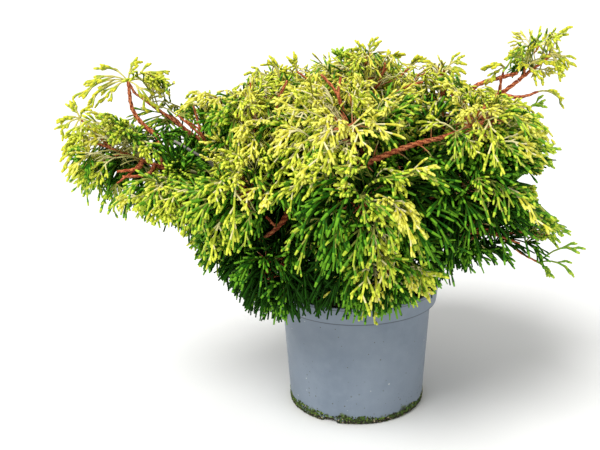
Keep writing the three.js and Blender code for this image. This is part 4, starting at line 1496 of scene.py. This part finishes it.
rng = np.random.default_rng(FOLIAGE_SEED)
rows = []
for number, fan in enumerate(fans):
    if shows_sky(fan):
        continue
    starts, ends = fan_lines(fan)
    face = np.cross(fan["along"], fan["across"])
    face = face if face[2] > 0 else -face
    rows += [(start, end, face, number) for start, end in zip(starts[:-1], ends[:-1])]
rib_starts, rib_ends, faces_up, rib_fans = (np.array(column) for column in zip(*rows))
faces_up = unit(faces_up + rng.normal(0, TILT_VARIES, faces_up.shape))
lengths = np.linalg.norm(rib_ends - rib_starts, axis=1)
middles = (rib_starts + rib_ends) / 2
height_share = progress(unit(middles - CROWN_HEART)[:, 2], *HEIGHTS)
wild = progress(height_share, TOP_STARTS, 1)
droop = lerp(DROOP_LOW, DROOP_HIGH, height_share) + rng.normal(0, DROOP_VARIES, len(rows)) * (1 + wild)
arch = rng.uniform(*ARCH, len(rows)) * (1 + wild)
raised = np.array([fans[number]["mass"]["name"] in RAISED for number in rib_fans])
flank = progress(middles[:, 0], *FLANK) * ~raised
ways = unit((rib_ends - rib_starts) / lengths[:, None] + flank[:, None] * FLANK_LEAN)
rib_ends = rib_starts + lengths[:, None] * ways
droop *= 1 - FLANK_LIFT * flank
print(len(rows), "ribs")

# %% Where a spray may reach
TIP_BEND = 2.5  # the droop sets in late
LOWEST_TIP = 112 * MM  # outside the collar
COLLAR_REACH = (105 * MM, 150 * MM)  # where the fringe over the collar ends
FRINGE = np.array([  # bearing, and how low the tips may hang over the collar there, in mm
    (200, 140), (233, 138), (243, 144), (254, 132), (265, 147), (276, 132), (284, 148), (296, 154),
    (305, 148), (318, 158), (340, 142),
])


def arched(starts, ends, arch, droop, shares):
    """Paths that arch up between their ends and droop at the tip, both by shares of their length."""
    length = np.linalg.norm(ends - starts, axis=1)[:, None, None]
    s = shares[None, :, None]
    rise = arch[:, None, None] * 4 * s * (1 - s) - droop[:, None, None] * s ** TIP_BEND
    return starts[:, None] + (ends - starts)[:, None] * s - DOWN * rise * length


def lowest_at(points):
    """How low a tip may hang: just over the collar near the pot, and lower outside it."""
    out = np.hypot(points[..., 0], points[..., 1])
    bearing = np.degrees(np.arctan2(points[..., 1], points[..., 0])) % 360
    return lerp(np.interp(bearing, *FRINGE.T) * MM, LOWEST_TIP, progress(out, *COLLAR_REACH))


def allowed(points, raised, slack):
    """For each point, whether a spray may reach it."""
    return (points[..., 2] > lowest_at(points) - slack) & in_outline(points, slack, raised)


print("tips over the collar hang down to", round(FRINGE[:, 1].min() * MM, 3), "m")

# %% Sprays that fit
AXIS_STEPS = 5
TRIMS = (1, 0.78, 0.58)
SLACK = (-3.5 * MM, 6 * MM)  # mean and spread

slack = rng.normal(*SLACK, len(fans))[rib_fans][:, None]
axis_shares = np.linspace(0, 1, AXIS_STEPS + 1)
axes = np.zeros((len(rows), AXIS_STEPS + 1, 3))
trim = np.zeros(len(rows))
for part in TRIMS:
    trial = arched(rib_starts, lerp(rib_starts, rib_ends, part), arch, droop, axis_shares)
    fits = (trim == 0) & allowed(trial[:, 2:], raised[:, None], slack).all(axis=1)
    axes[fits] = trial[fits]
    trim[fits] = part
hidden = hides_wood(axes.reshape(-1, 3)).reshape(len(axes), -1).any(axis=1)
kept = (trim > 0) & ~hidden
axes, lengths, faces_up, rib_fans = axes[kept], (lengths * trim)[kept], faces_up[kept], rib_fans[kept]
raised, flank, height_share, wild = raised[kept], flank[kept], height_share[kept], wild[kept]
print(len(axes), "sprays, mean length", round(lengths.mean() / MM, 1), "mm")
print((trim < 1).sum(), "trimmed or left out")

# %% [markdown]
# ## Light on the sprays
#
# The foliage is bleached where it lies open and green where it is shaded, and the deeper sprays are
# coloured darker still as painted shade. From the sprays above and outside it, the rule works out how open
# each spray lies to the sky. Listed clusters are coloured lighter as painted light, and the hollows between
# them darker as painted shade. The deeper a spray lies, the darker its green and the fewer faces it needs.

# %% How open each spray lies
SHADE_REACH = 45 * MM
SHADE_CONE = 0.15  # sprays further off the way to the sky than this cast no shade
SKYWARD = np.array([0, 0, 0.8])
OWN_DISTANCE = 1e-6
BLOCK = 500


def openness(places, lengths):
    """From 0 for a spray deep under others to 1 for one with nothing above or outside it."""
    outward = places - CROWN_HEART
    sky = unit(unit(outward) + SKYWARD)
    shade = np.zeros(len(places))
    for first in range(0, len(places), BLOCK):
        rows = slice(first, first + BLOCK)
        offsets = places[None] - places[rows, None]
        away = np.linalg.norm(offsets, axis=2) + OWN_DISTANCE
        facing = np.einsum("ijk,ik->ij", offsets, sky[rows]) / away
        weight = np.clip(facing - SHADE_CONE, 0, None) * np.exp(-away / SHADE_REACH)
        shade[rows] = (weight * lengths[None] ** 2).sum(axis=1)
    return np.exp(-shade / np.median(shade))


open_to_sky = openness(axes[:, 3], lengths)
print("openness", np.round(np.percentile(open_to_sky, [5, 25, 50, 75, 95]), 2))

# %% Clusters and hollows
# Painted light and shade: listed clusters are coloured lighter and the hollows between them darker
PATCHES = np.array([  # across, height, half the width and height, in mm, and how much lighter
    (-154, 300, 16, 16, 0.35), (-96, 259, 15, 21, 0.3), (-166, 207, 32, 23, 0.5), (-12, 288, 29, 26, 0.25),
    (46, 286, 27, 28, 0.25), (43, 247, 30, 25, 0.3), (-60, 206, 25, 20, 0.45), (50, 187, 34, 22, 0.5),
    (8, 150, 39, 22, 0.6), (-91, 324, 39, 18, 0.25), (69, 141, 18, 27, 0.6), (-230, 277, 11, 20, 0.3),
    (-272, 257, 16, 16, 0.2), (-212, 233, 17, 23, 0.3), (-309, 310, 25, 33, 0.15), (190, 322, 21, 23, 0.4),
    (136, 330, 26, 27, 0.4), (-135, 277, 31, 30, 0.15),
    (-35, 246, 61, 25, -0.55), (-103, 216, 24, 31, -0.35), (-153, 331, 23, 18, -0.3), (81, 229, 21, 36, -0.4),
    (-98, 146, 79, 42, -0.35), (-207, 301, 33, 13, -0.4), (138, 264, 38, 42, -0.1), (113, 194, 23, 57, -0.1),
    (202, 218, 40, 50, 0.05), (-9, 184, 32, 16, -0.4),
])
PATCH_EDGE = 1.3  # past this elliptic distance, squared, a patch has no effect


def patch_light(points):
    """How much lighter each point lies for the clusters that catch the light and the hollows between."""
    across, level = seen_from_front(points)
    middle, height, half_width, half_height = PATCHES[:, :4].T * MM
    away = ((across[:, None] - middle) / half_width) ** 2 + ((level[:, None] - height) / half_height) ** 2
    return np.clip(PATCH_EDGE - away, 0, 1) @ PATCHES[:, 4]


print((PATCHES[:, 4] > 0).sum(), "clusters and", (PATCHES[:, 4] < 0).sum(), "hollows")

# %% How light each spray is
FAN_WANDER = 0.23
SPRAY_WANDER = 0.05
WILD_WANDER = 0.3
HEIGHT_COUNTS = 0.4
SUN_COUNTS = 0.13
SUNNY_SIDE = unit(np.array([-0.5, -0.75, 0.4]))
INNER_COUNTS = 0.35
SHELTERED = {"right_low": 0.1}
FRONT_HALF = 0.03  # the patches belong to the sprays in front of this depth

wander = rng.normal(0, FAN_WANDER, len(fans))[rib_fans] + rng.normal(0, SPRAY_WANDER, len(axes))
wander += rng.normal(0, WILD_WANDER, len(axes)) * wild
inner = np.array(["inner" in fans[number] for number in rib_fans])
facing_sun = unit(axes[:, 3] - CROWN_HEART) @ SUNNY_SIDE
# Partly the bleaching of open foliage, partly painted light and shade: sprays high up, facing the key  light
# or in a cluster are coloured lighter; sprays along the boughs, in hollows or sheltered, darker
light = open_to_sky + wander + HEIGHT_COUNTS * height_share
light = light + SUN_COUNTS * facing_sun - INNER_COUNTS * inner
light += patch_light(axes[:, 3]) * (axes[:, 3, 1] < FRONT_HALF)
light -= np.array([SHELTERED.get(fans[number]["mass"]["name"], 0) for number in rib_fans])
rank = np.argsort(np.argsort(light)) / len(axes)
print(inner.sum(), "sprays lie along the boughs")

# %% Depths of foliage
BRUSH = {"angle": (10, 24), "reach": (0.75, 0.45), "nubs": 0, "sag": (0.1, 0.55)}
COMB = {"angle": (18, 36), "reach": (0.6, 0.36), "nubs": 0, "sag": (0, 0.45)}
HAND = {"angle": (26, 46), "reach": (0.52, 0.34), "nubs": 1, "sag": (0, 0.3)}
OPEN_SPRAY = {"gloss": 0.2, "girth": 1.12, "sides": 4, "cords": 5, "span": (0.36, 0.92), "steps": 3, **HAND}
STYLES = {
    "deep": {"gloss": 0.05, "girth": 1.15, "sides": 3, "cords": 6, "span": (0.08, 0.88), "steps": 2, **BRUSH},
    "shade": {"gloss": 0.1, "girth": 1.05, "sides": 4, "cords": 7, "span": (0.1, 0.88), "steps": 3, **BRUSH},
    "green": {"gloss": 0.25, "girth": 1.1, "sides": 4, "cords": 8, "span": (0.15, 0.92), "steps": 3, **COMB},
    "lime": {**OPEN_SPRAY},
    "gold": {**OPEN_SPRAY},
    "green_tips": {**OPEN_SPRAY, "girth": 1.2, "sides": 6, "cords": 3, "span": (0.6, 0.93)},
    "gold_tips": {**OPEN_SPRAY, "girth": 1.2, "sides": 6, "cords": 4, "span": (0.3, 0.85)},
}
DEPTHS = {  # the share of all sprays that lies this deep or deeper
    "deep": 0.46, "shade": 0.72, "green": 0.84, "lime": 0.925, "gold": 1,
}

tops = list(DEPTHS.values())
style_of = np.array(list(DEPTHS))[np.searchsorted(tops, rank, side="right")]
print({name: int((style_of == name).sum()) for name in DEPTHS})

# %% Foliage finishes
# The underside colours are painted shade on the side of each cord that faces the ground
COLOURED_PARTS = ("stem", "body", "tip", "underside")
COLOURS = {
    # The deep and shade colours are darkened as painted shade for the depth of the crown
    "deep": ("#163008", "#1a3e0a", "#26560e", "#102a04"),
    "shade": ("#3c5a10", "#2a620e", "#6ca624", "#163a08"),
    "green": ("#a8ae50", "#5a9214", "#c4da3c", "#2c5c0c"),
    "lime": ("#ece4a2", "#aebc2c", "#e4ec4c", "#56740e"),
    "gold": ("#f6ecb4", "#d6d042", "#eeec68", "#82861a"),
    "green_tips": ("#8fa83e", "#76a52a", "#b4cf3c", "#3c761a"),
    "gold_tips": ("#d8d078", "#aab83a", "#dcd838", "#55781e"),
}


def foliage_finish(name, colour, gloss):
    """Cord foliage is waxy: plain colour, half matt, with a faint gloss where it lies open."""
    material, shader = new_material(name, colour, roughness=0.5)
    shader.inputs["Specular IOR Level"].default_value = gloss
    return material


old_stem = foliage_finish("old_stem", "#b4602f", gloss=0.1)
for name, style in STYLES.items():
    style["finishes"] = [
        foliage_finish(name + "_" + part, colour, style["gloss"])
        for part, colour in zip(COLOURED_PARTS, COLOURS[name])
    ] + [old_stem]
print(len(STYLES) * len(COLOURED_PARTS) + 1, "finishes for the foliage")

# %% The sprays of the single shoots
SHOOT_ARCH = 0.12
SHOOT_TILT_VARIES = 0.4
SHOOT_FACE = np.array([0, -0.5, 1])

hubs = np.array([shoot["curve"](1) for shoot in shoots for _ in shoot["sprays"]])
sprays = np.array([spray for shoot in shoots for spray in shoot["sprays"]])
ends = hubs + unit(sprays[:, :3]) * sprays[:, 3:] * MM
sag = np.full(len(hubs), SHOOT_ARCH)
shoot_axes = arched(hubs, ends, sag, sag, axis_shares)
shoot_styles = [shoot["kind"] for shoot in shoots for _ in shoot["sprays"]]
shoot_lengths = np.linalg.norm(shoot_axes[:, -1] - shoot_axes[:, 0], axis=1)
shoot_faces = unit(rng.normal(0, SHOOT_TILT_VARIES, (len(shoot_axes), 3)) + SHOOT_FACE)

axes = np.concatenate([axes, shoot_axes])
faces_up = np.concatenate([faces_up, shoot_faces])
lengths = np.concatenate([lengths, shoot_lengths])
style_of = np.concatenate([style_of, shoot_styles])
raised = np.concatenate([raised, np.zeros(len(shoot_axes), bool)])
single = np.arange(len(axes)) >= len(axes) - len(shoot_axes)
wild, flank = (np.concatenate([own, np.zeros(len(shoot_axes))]) for own in (wild, flank))
print(len(axes), "sprays with those of the shoots, at most", round(lengths.max() / MM), "mm long")

# %% [markdown]
# ## Growing the sprays
#
# Along its axis a spray sends long side cords left and right by turns. Each swells to a short blunt tip.
# Deep sprays are narrow brushes, half open ones are combs, and the open ones are hands whose cords fork
# once. All paths are worked out as arrays, thousands at once: a place and a direction on the parent, a
# length, and a sag. The side of a cord that faces the ground is painted a darker green as its shade.

# %% Thickness and colours along a cord
CORD_RADII = {  # by the steps of a path
    2: np.array([0.75, 1.05, 0.8]) * MM,
    3: np.array([0.75, 0.9, 1.4, 0.9]) * MM,
    5: np.array([0.8, 0.8, 0.9, 1.05, 1.25, 0.75]) * MM,
}
NUB_RADII = np.array([0.8, 1.35, 0.85]) * MM
STEP_PARTS = {2: (0.55, 0.45), 3: (0.42, 0.34, 0.24)}  # a side cord's last step is its short blunt tip
STEM, BODY, TIP, SHADED_UNDERSIDE, WOOD = range(5)
CORD_ZONES = {2: [STEM, BODY], 3: [STEM, BODY, TIP], 5: [STEM, STEM, STEM, BODY, TIP]}
WOOD_ZONES = {3: [WOOD, BODY, TIP], 5: [WOOD, WOOD, STEM, BODY, TIP]}
NUB_ZONES = [BODY, TIP]
WOODY = 0.3  # the share of old stems where sprays grow every way
print("a nub is", round(2 * NUB_RADII.max() / MM, 1), "mm thick")

# %% Paths of cords
PATH_END = 0.999


def grow_paths(starts, ways, lengths, sag, steps):
    """Paths that start in their own way and bend down under gravity as they go."""
    paths = [starts]
    way = ways
    for part in STEP_PARTS[steps]:
        way = unit(way + DOWN * (sag * part)[:, None])
        paths.append(paths[-1] + way * (lengths * part)[:, None])
    return np.stack(paths, axis=1)


def at_share(paths, shares):
    """The place and the direction at each path's own share of its length."""
    steps = paths.shape[1] - 1
    place = np.clip(shares, 0, PATH_END) * steps
    step = place.astype(int)
    part = (place - step)[:, None]
    own = np.arange(len(paths))
    low, high = paths[own, step], paths[own, step + 1]
    return low + (high - low) * part, unit(high - low)


def turned_in_plane(ways, faces, degrees, twist):
    """Directions turned in the spray's own plane, with a little twist out of it."""
    flat = unit(faces - ways * np.sum(faces * ways, axis=1, keepdims=True))
    out = np.radians(rng.normal(0, 1, len(ways)) * twist)
    return turned(ways, turned(flat, ways, out), np.radians(degrees))


# %% Cords gathered as arrays
class Cords:
    """Cords gathered as arrays: their paths, how thick each is for its kind, and their looks."""

    def __init__(self, radii, zones):
        self.paths, self.girths, self.looks = [], [], (radii, zones)

    def add(self, paths, girths, raised, single):
        fits = allowed(paths[:, -1], raised, rng.normal(*SLACK, len(paths))) | single
        self.paths.append(paths[fits])
        self.girths.append(girths[fits])

    def joined(self):
        return np.concatenate(self.paths), np.concatenate(self.girths), *self.looks


# %% Side cords and nubs
SIDE_LENGTH_VARIES = (0.75, 1.2)
SHARE_VARIES = 0.05
NUB_SPAN = (0.45, 0.75)
NUB_ANGLE = (22, 36)
NUB_LENGTH = (6 * MM, 10 * MM)
NUB_SAG = (0, 0.3)
AXIS_NUBS = (0.76, 0.9)
TWIST = 14
WILD_TWIST = 3
WILD_ANGLE = 0.6
WILD_GIRTH = 0.78


def grow_sprays(own, style):
    """The axes, side cords and nubs of the sprays in one style."""
    paths, faces, length = axes[own], faces_up[own], lengths[own]
    kind = raised[own], single[own]
    count = len(paths)
    girth = style["girth"] * lerp(1, WILD_GIRTH, wild[own])
    twist = TWIST * (1 + WILD_TWIST * wild[own])
    opening = 1 + WILD_ANGLE * wild[own]
    parity = rng.choice([-1, 1], count)
    steps = 2 * style["steps"] - 1
    stems, old_stems = (Cords(CORD_RADII[steps], zones[steps]) for zones in (CORD_ZONES, WOOD_ZONES))
    sides = Cords(CORD_RADII[style["steps"]], CORD_ZONES[style["steps"]])
    nubs = Cords(NUB_RADII, NUB_ZONES)

    def add_nub(parents, shares, side):
        root, ahead = at_share(parents, shares)
        way = turned_in_plane(ahead, faces, rng.uniform(*NUB_ANGLE, count) * side, twist)
        nub = grow_paths(root, way, rng.uniform(*NUB_LENGTH, count), rng.uniform(*NUB_SAG, count), 2)
        nubs.add(nub, girth, *kind)

    for i in range(style["cords"]):
        share = lerp(*style["span"], i / (style["cords"] - 1))
        share = share + rng.uniform(-SHARE_VARIES, SHARE_VARIES, count)
        start, ahead = at_share(paths, share)
        side = parity * (-1) ** i
        way = turned_in_plane(ahead, faces, rng.uniform(*style["angle"], count) * side * opening, twist)
        own_length = length * lerp(*style["reach"], share) * rng.uniform(*SIDE_LENGTH_VARIES, count)
        sag = rng.uniform(*style["sag"], count) * (1 - FLANK_LIFT * flank[own])
        cord = grow_paths(start, way, own_length, sag, style["steps"])
        sides.add(cord, girth, *kind)
        for _ in range(style["nubs"]):
            add_nub(cord, rng.uniform(*NUB_SPAN, count), -side)
    if style["nubs"]:
        for i, share in enumerate(AXIS_NUBS):
            add_nub(paths, np.full(count, share), parity * (-1) ** i)
    picked = np.linspace(0, AXIS_STEPS, steps + 1).round().astype(int)
    woody = rng.uniform(0, 1, count) < WOODY * wild[own]
    for cords, chosen in ((stems, ~woody), (old_stems, woody)):
        cords.add(paths[chosen][:, picked], girth[chosen], raised[own][chosen], True)
    return [cords.joined() for cords in (stems, old_stems, sides, nubs) if cords.paths]


# %% Cords as meshes
SIZE_VARIES = (0.85, 1.15)
MOST_TRIANGLES = 190_000


def cord_parts(paths, girths, radii, zones, sides):
    """Points, faces and zones of cords. zones has one entry for each step of a path."""
    tubes, rings, _ = paths.shape
    sizes = rng.uniform(*SIZE_VARIES, tubes) * girths
    points = tube_points(paths, radii * sizes[:, None], sides).reshape(-1, 3)
    quads, caps = tube_faces(tubes, rings, sides)
    by_step = np.repeat(np.array(zones)[:, None], sides, axis=1)
    # Painted shade: the side of each cord that faces the ground takes the darker underside colour
    by_step[:, sides // 2] = np.where(by_step[:, 0] == WOOD, WOOD, SHADED_UNDERSIDE)
    cap_zones = np.tile([zones[0], zones[-1]], tubes)
    return points, quads, caps, np.tile(by_step.ravel(), tubes), cap_zones


def triangles_of(sets, sides):
    return sum(len(paths) * 2 * (sides * (paths.shape[1] - 1) + sides - 2) for paths, *_ in sets)


# %% The sprays
foliage_triangles = 0
for name, style in STYLES.items():
    sets = grow_sprays(style_of == name, style)
    parts = math.ceil(triangles_of(sets, style["sides"]) / MOST_TRIANGLES)
    for part in range(parts):
        share = [(paths[part::parts], girths[part::parts], *looks) for paths, girths, *looks in sets]
        tubes = [cord_parts(*cords, style["sides"]) for cords in share]
        piece = joined_tubes("sprays_" + name + "_" + str(part + 1), tubes, style["finishes"])
        finish_piece(piece, "foliage")
        foliage_triangles += triangles_of(share, style["sides"])
        print(piece.name, triangles_of(share, style["sides"]), "triangles")
print("foliage", foliage_triangles, "triangles")

# %% [markdown]
# ## Bark
#
# Young bark is a warm orange-brown skin with old leaf scars ringed round it. It peels in strips on the
# trunk. The relief is moved into the mesh itself, along the length and round the girth, and the faces in
# its furrows are coloured darker as painted shade. The finish adds streaks, paler blotches and dark scars.

# %% Bark finish
BARK_GLOSS = 0.2
BLOTCH_STRENGTH = 0.5
SCAR_STRENGTH = 0.6
BARK_GRAIN = {"distance": 0.3 * MM, "strength": 0.6}

bark, bark_shader = new_material("bark", "#b85a30", roughness=0.75)
bark_shader.inputs["Specular IOR Level"].default_value = BARK_GLOSS
tree = bark.node_tree
places = object_places(tree)
streaks = place_group(tree, mottle, places, Scale=300.0, Low=0.4, High=0.6)
blotches = place_group(tree, mottle, places, Scale=45.0, Low=0.35, High=0.7)
bark_colour = mixed(tree, streaks, "#a04424", "#e68854")
bark_colour = mixed(tree, faded(tree, blotches, BLOTCH_STRENGTH), bark_colour, "#e09468")
scars = place_group(tree, flecks, places, Scale=420.0, Size=0.4, Share=0.2)
bark_colour = mixed(tree, faded(tree, scars, SCAR_STRENGTH), bark_colour, "#5b2c19")
tree.links.new(bark_colour, bark_shader.inputs["Base Color"])
add_bump(tree, bark_shader, streaks, **BARK_GRAIN)
print(bark.name, len(tree.nodes), "nodes")

# %% Limbs with relief
LIMB_RING = 1.3 * MM
LIMB_SIDES = 16
ROUTE_POINTS = 40
PHASE_STEP = 1.7
SCAR_RING = 9 * MM
SCAR_NARROWS = 3
RIDGES = (3, 5)  # how many round a limb, in two sets that twist against each other
RIDGE_TWISTS = (1.4 * MM, 7 * MM)
SECOND_RIDGES = 0.3
BOUGH_RELIEF = 0.2
KNOB_REACH = (13 * MM, 19 * MM)
RELIEF = {"scars": 0.5, "ridges": 0.8, "knobs": 0.9}
# Painted shade: the faces in the furrows get a darker bark colour
FURROW = -0.45  # faces where the ridges lie deeper than this are dark
OLD, SHADED_FURROW, DEAD = 0, 1, 2
bark_finishes = [
    bark,
    new_material("bark_furrow_shade", "#843014", roughness=0.85)[0],
    new_material("dead_wood", "#9a9490", roughness=0.8)[0],
]
print([finish.name for finish in bark_finishes])


def relief_of(s, turn, phase):
    """The bark's ringed scars, twisted ridges and knobs at places along and round a limb."""
    scars = np.sin(2 * np.pi * s / SCAR_RING + np.sin(s / (2 * SCAR_RING) + phase))
    ridges = np.sin(RIDGES[0] * turn + s / RIDGE_TWISTS[0] + phase)
    ridges = ridges + SECOND_RIDGES * np.sin(RIDGES[1] * turn - s / RIDGE_TWISTS[1] + phase)
    knobs = np.sin(s / KNOB_REACH[0] + phase) * np.sin(turn + s / KNOB_REACH[1])
    return np.clip(scars, 0, 1) ** SCAR_NARROWS, ridges, knobs


def limb_parts(curve, radius_at, seed, sides=LIMB_SIDES, ring=LIMB_RING, relief=BOUGH_RELIEF, dead=False):
    """A limb as points and faces, with its relief moved into the mesh."""
    route_shares = np.linspace(0, 1, ROUTE_POINTS)
    rough = np.array([curve(t) for t in route_shares])
    walk = np.concatenate([[0], np.cumsum(np.linalg.norm(np.diff(rough, axis=0), axis=1))])
    count = max(int(walk[-1] / ring), 3)
    along = np.linspace(0, walk[-1], count)
    shares = np.interp(along, walk, route_shares)
    path = np.array([curve(t) for t in shares])[None]
    radii = np.array([radius_at(t) for t in along / walk[-1]])
    points = tube_points(path, radii[None], sides)[0]
    turn = 2 * np.pi * np.arange(sides) / sides
    scars, ridges, knobs = relief_of(along[:, None], turn, seed * PHASE_STEP)
    height = RELIEF["scars"] * scars + RELIEF["ridges"] * ridges + RELIEF["knobs"] * knobs
    swell = 1 + relief * height
    centres = path[0][:, None]
    points = centres + (points - centres) * swell[..., None]
    quads, caps = tube_faces(1, count, sides)
    # painted shade: faces in the furrows take the darker bark
    zones = np.where(ridges[:-1] + ridges[1:] < 2 * FURROW, SHADED_FURROW, OLD)
    if dead:
        zones[:] = DEAD
    return points.reshape(-1, 3), quads, caps, zones.ravel(), np.full(len(caps), zones[0, 0])


# %% Trunk
TRUNK_DETAIL = {"seed": 1, "sides": 28, "relief": 0.07}


def trunk_radius(t):
    rise = t * (TRUNK_TOP - COMPOST_TOP)
    flare = ROOT_FLARE["extra"] * math.exp(-rise / ROOT_FLARE["height"])
    return lerp(TRUNK_FOOT_RADIUS, TRUNK_TIP_RADIUS, t ** TRUNK_TAPER) + flare


trunk_parts = limb_parts(trunk_curve, trunk_radius, **TRUNK_DETAIL)
trunk = joined_tubes("trunk_bark", [trunk_parts], bark_finishes)
finish_piece(trunk, "bark", "trunk")
print("trunk", len(trunk.data.polygons), "faces")

# %% Boughs, stems and bare twigs
STEM_RADII = (2.2 * MM, 1.2 * MM)
THIN_SIDES = 8
INNER_DETAIL = {"sides": 10, "ring": 2.4 * MM}  # for limbs inside the crown


def tapering(thick, thin):
    return lambda t: lerp(thick, thin, t)


bough_parts = []
bare_limbs = [name for name, *_ in BARE_STRETCHES]
for number, mass in enumerate(masses):
    detail = {} if mass["name"] in bare_limbs else INNER_DETAIL
    if mass["bough"]:
        radius_at = tapering(BOUGH_FOOT_RADIUS, BOUGH_TIP_RADIUS)
        bough_parts.append(limb_parts(mass["bough"], radius_at, number, **detail))
    stem_curve = twig_curve(np.linspace(*mass["stem"], 3))
    detail = {**detail, "sides": THIN_SIDES}
    bough_parts.append(limb_parts(stem_curve, tapering(*STEM_RADII), number, **detail))
for number, twig in enumerate(bare_twigs + shoots):
    radius_at = tapering(*np.array(twig["radii"]) * MM)
    bough_parts.append(limb_parts(twig["curve"], radius_at, number, sides=THIN_SIDES, dead=twig["dead"]))
boughs = joined_tubes("bough_bark", bough_parts, bark_finishes)
bough_nodes = [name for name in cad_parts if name.startswith("bough_")]
finish_piece(boughs, "bark", *bough_nodes)
print("boughs", len(boughs.data.polygons), "faces")

# %% Twigs
TWIG_RADII = np.array([1.3, 1.1, 1.0, 0.95]) * MM
FINE_TWIG_RADII = np.array([1.0, 0.9, 0.85, 0.85]) * MM
TWIG_ARCH = 0.1
TWIG_STEPS = 3
YOUNG_BARK = ["#cb8a58", "#c2c070"]  # past the old bark: new wood, then the green shoot

twig_finishes = [bark] + numbered_finishes("young_bark", YOUNG_BARK, roughness=0.6)


def twig_set(own_fans, radii, sides, oldest):
    """Twigs from their limbs to the hubs of their fans. Their bark is this old at the foot."""
    starts = np.array([fan["root"] for fan in own_fans])
    ends = np.array([fan["hub"] for fan in own_fans])
    level = np.zeros(len(own_fans))
    paths = arched(starts, ends, level + TWIG_ARCH, level, np.linspace(0, 1, TWIG_STEPS + 1))
    points = tube_points(paths, np.broadcast_to(radii, paths.shape[:2]), sides).reshape(-1, 3)
    quads, caps = tube_faces(len(paths), len(radii), sides)
    ages = np.maximum(np.arange(TWIG_STEPS), oldest)
    zones = np.tile(np.repeat(ages, sides), len(paths))
    return points, quads, caps, zones, np.tile(ages[[0, -1]], len(paths))


leafy = set(rib_fans.tolist())
twig_kinds = {"old": [], "fine": [], "wing": []}
for number, fan in enumerate(fans):
    if number in leafy:
        kind = "old" if number < model_fans else "fine"
        twig_kinds[kind if fan["mass"]["habit"] is DENSE else "wing"].append(fan)
twigs = joined_tubes("twig_bark", [
    twig_set(twig_kinds["old"], TWIG_RADII, sides=5, oldest=0),
    twig_set(twig_kinds["fine"], FINE_TWIG_RADII, sides=3, oldest=0),
    twig_set(twig_kinds["wing"], FINE_TWIG_RADII, sides=4, oldest=2),
], twig_finishes)
finish_piece(twigs, "bark")
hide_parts(*["foliage_" + mass["name"] for mass in masses])
print("twigs", len(twigs.data.polygons), "faces")

# %% The size of what was made
dressed_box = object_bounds()
sizes = {"cad": [list(corner) for corner in cad_box], "dressed": [list(corner) for corner in dressed_box]}
print("dressed box", [tuple(round(x, 3) for x in corner) for corner in dressed_box])
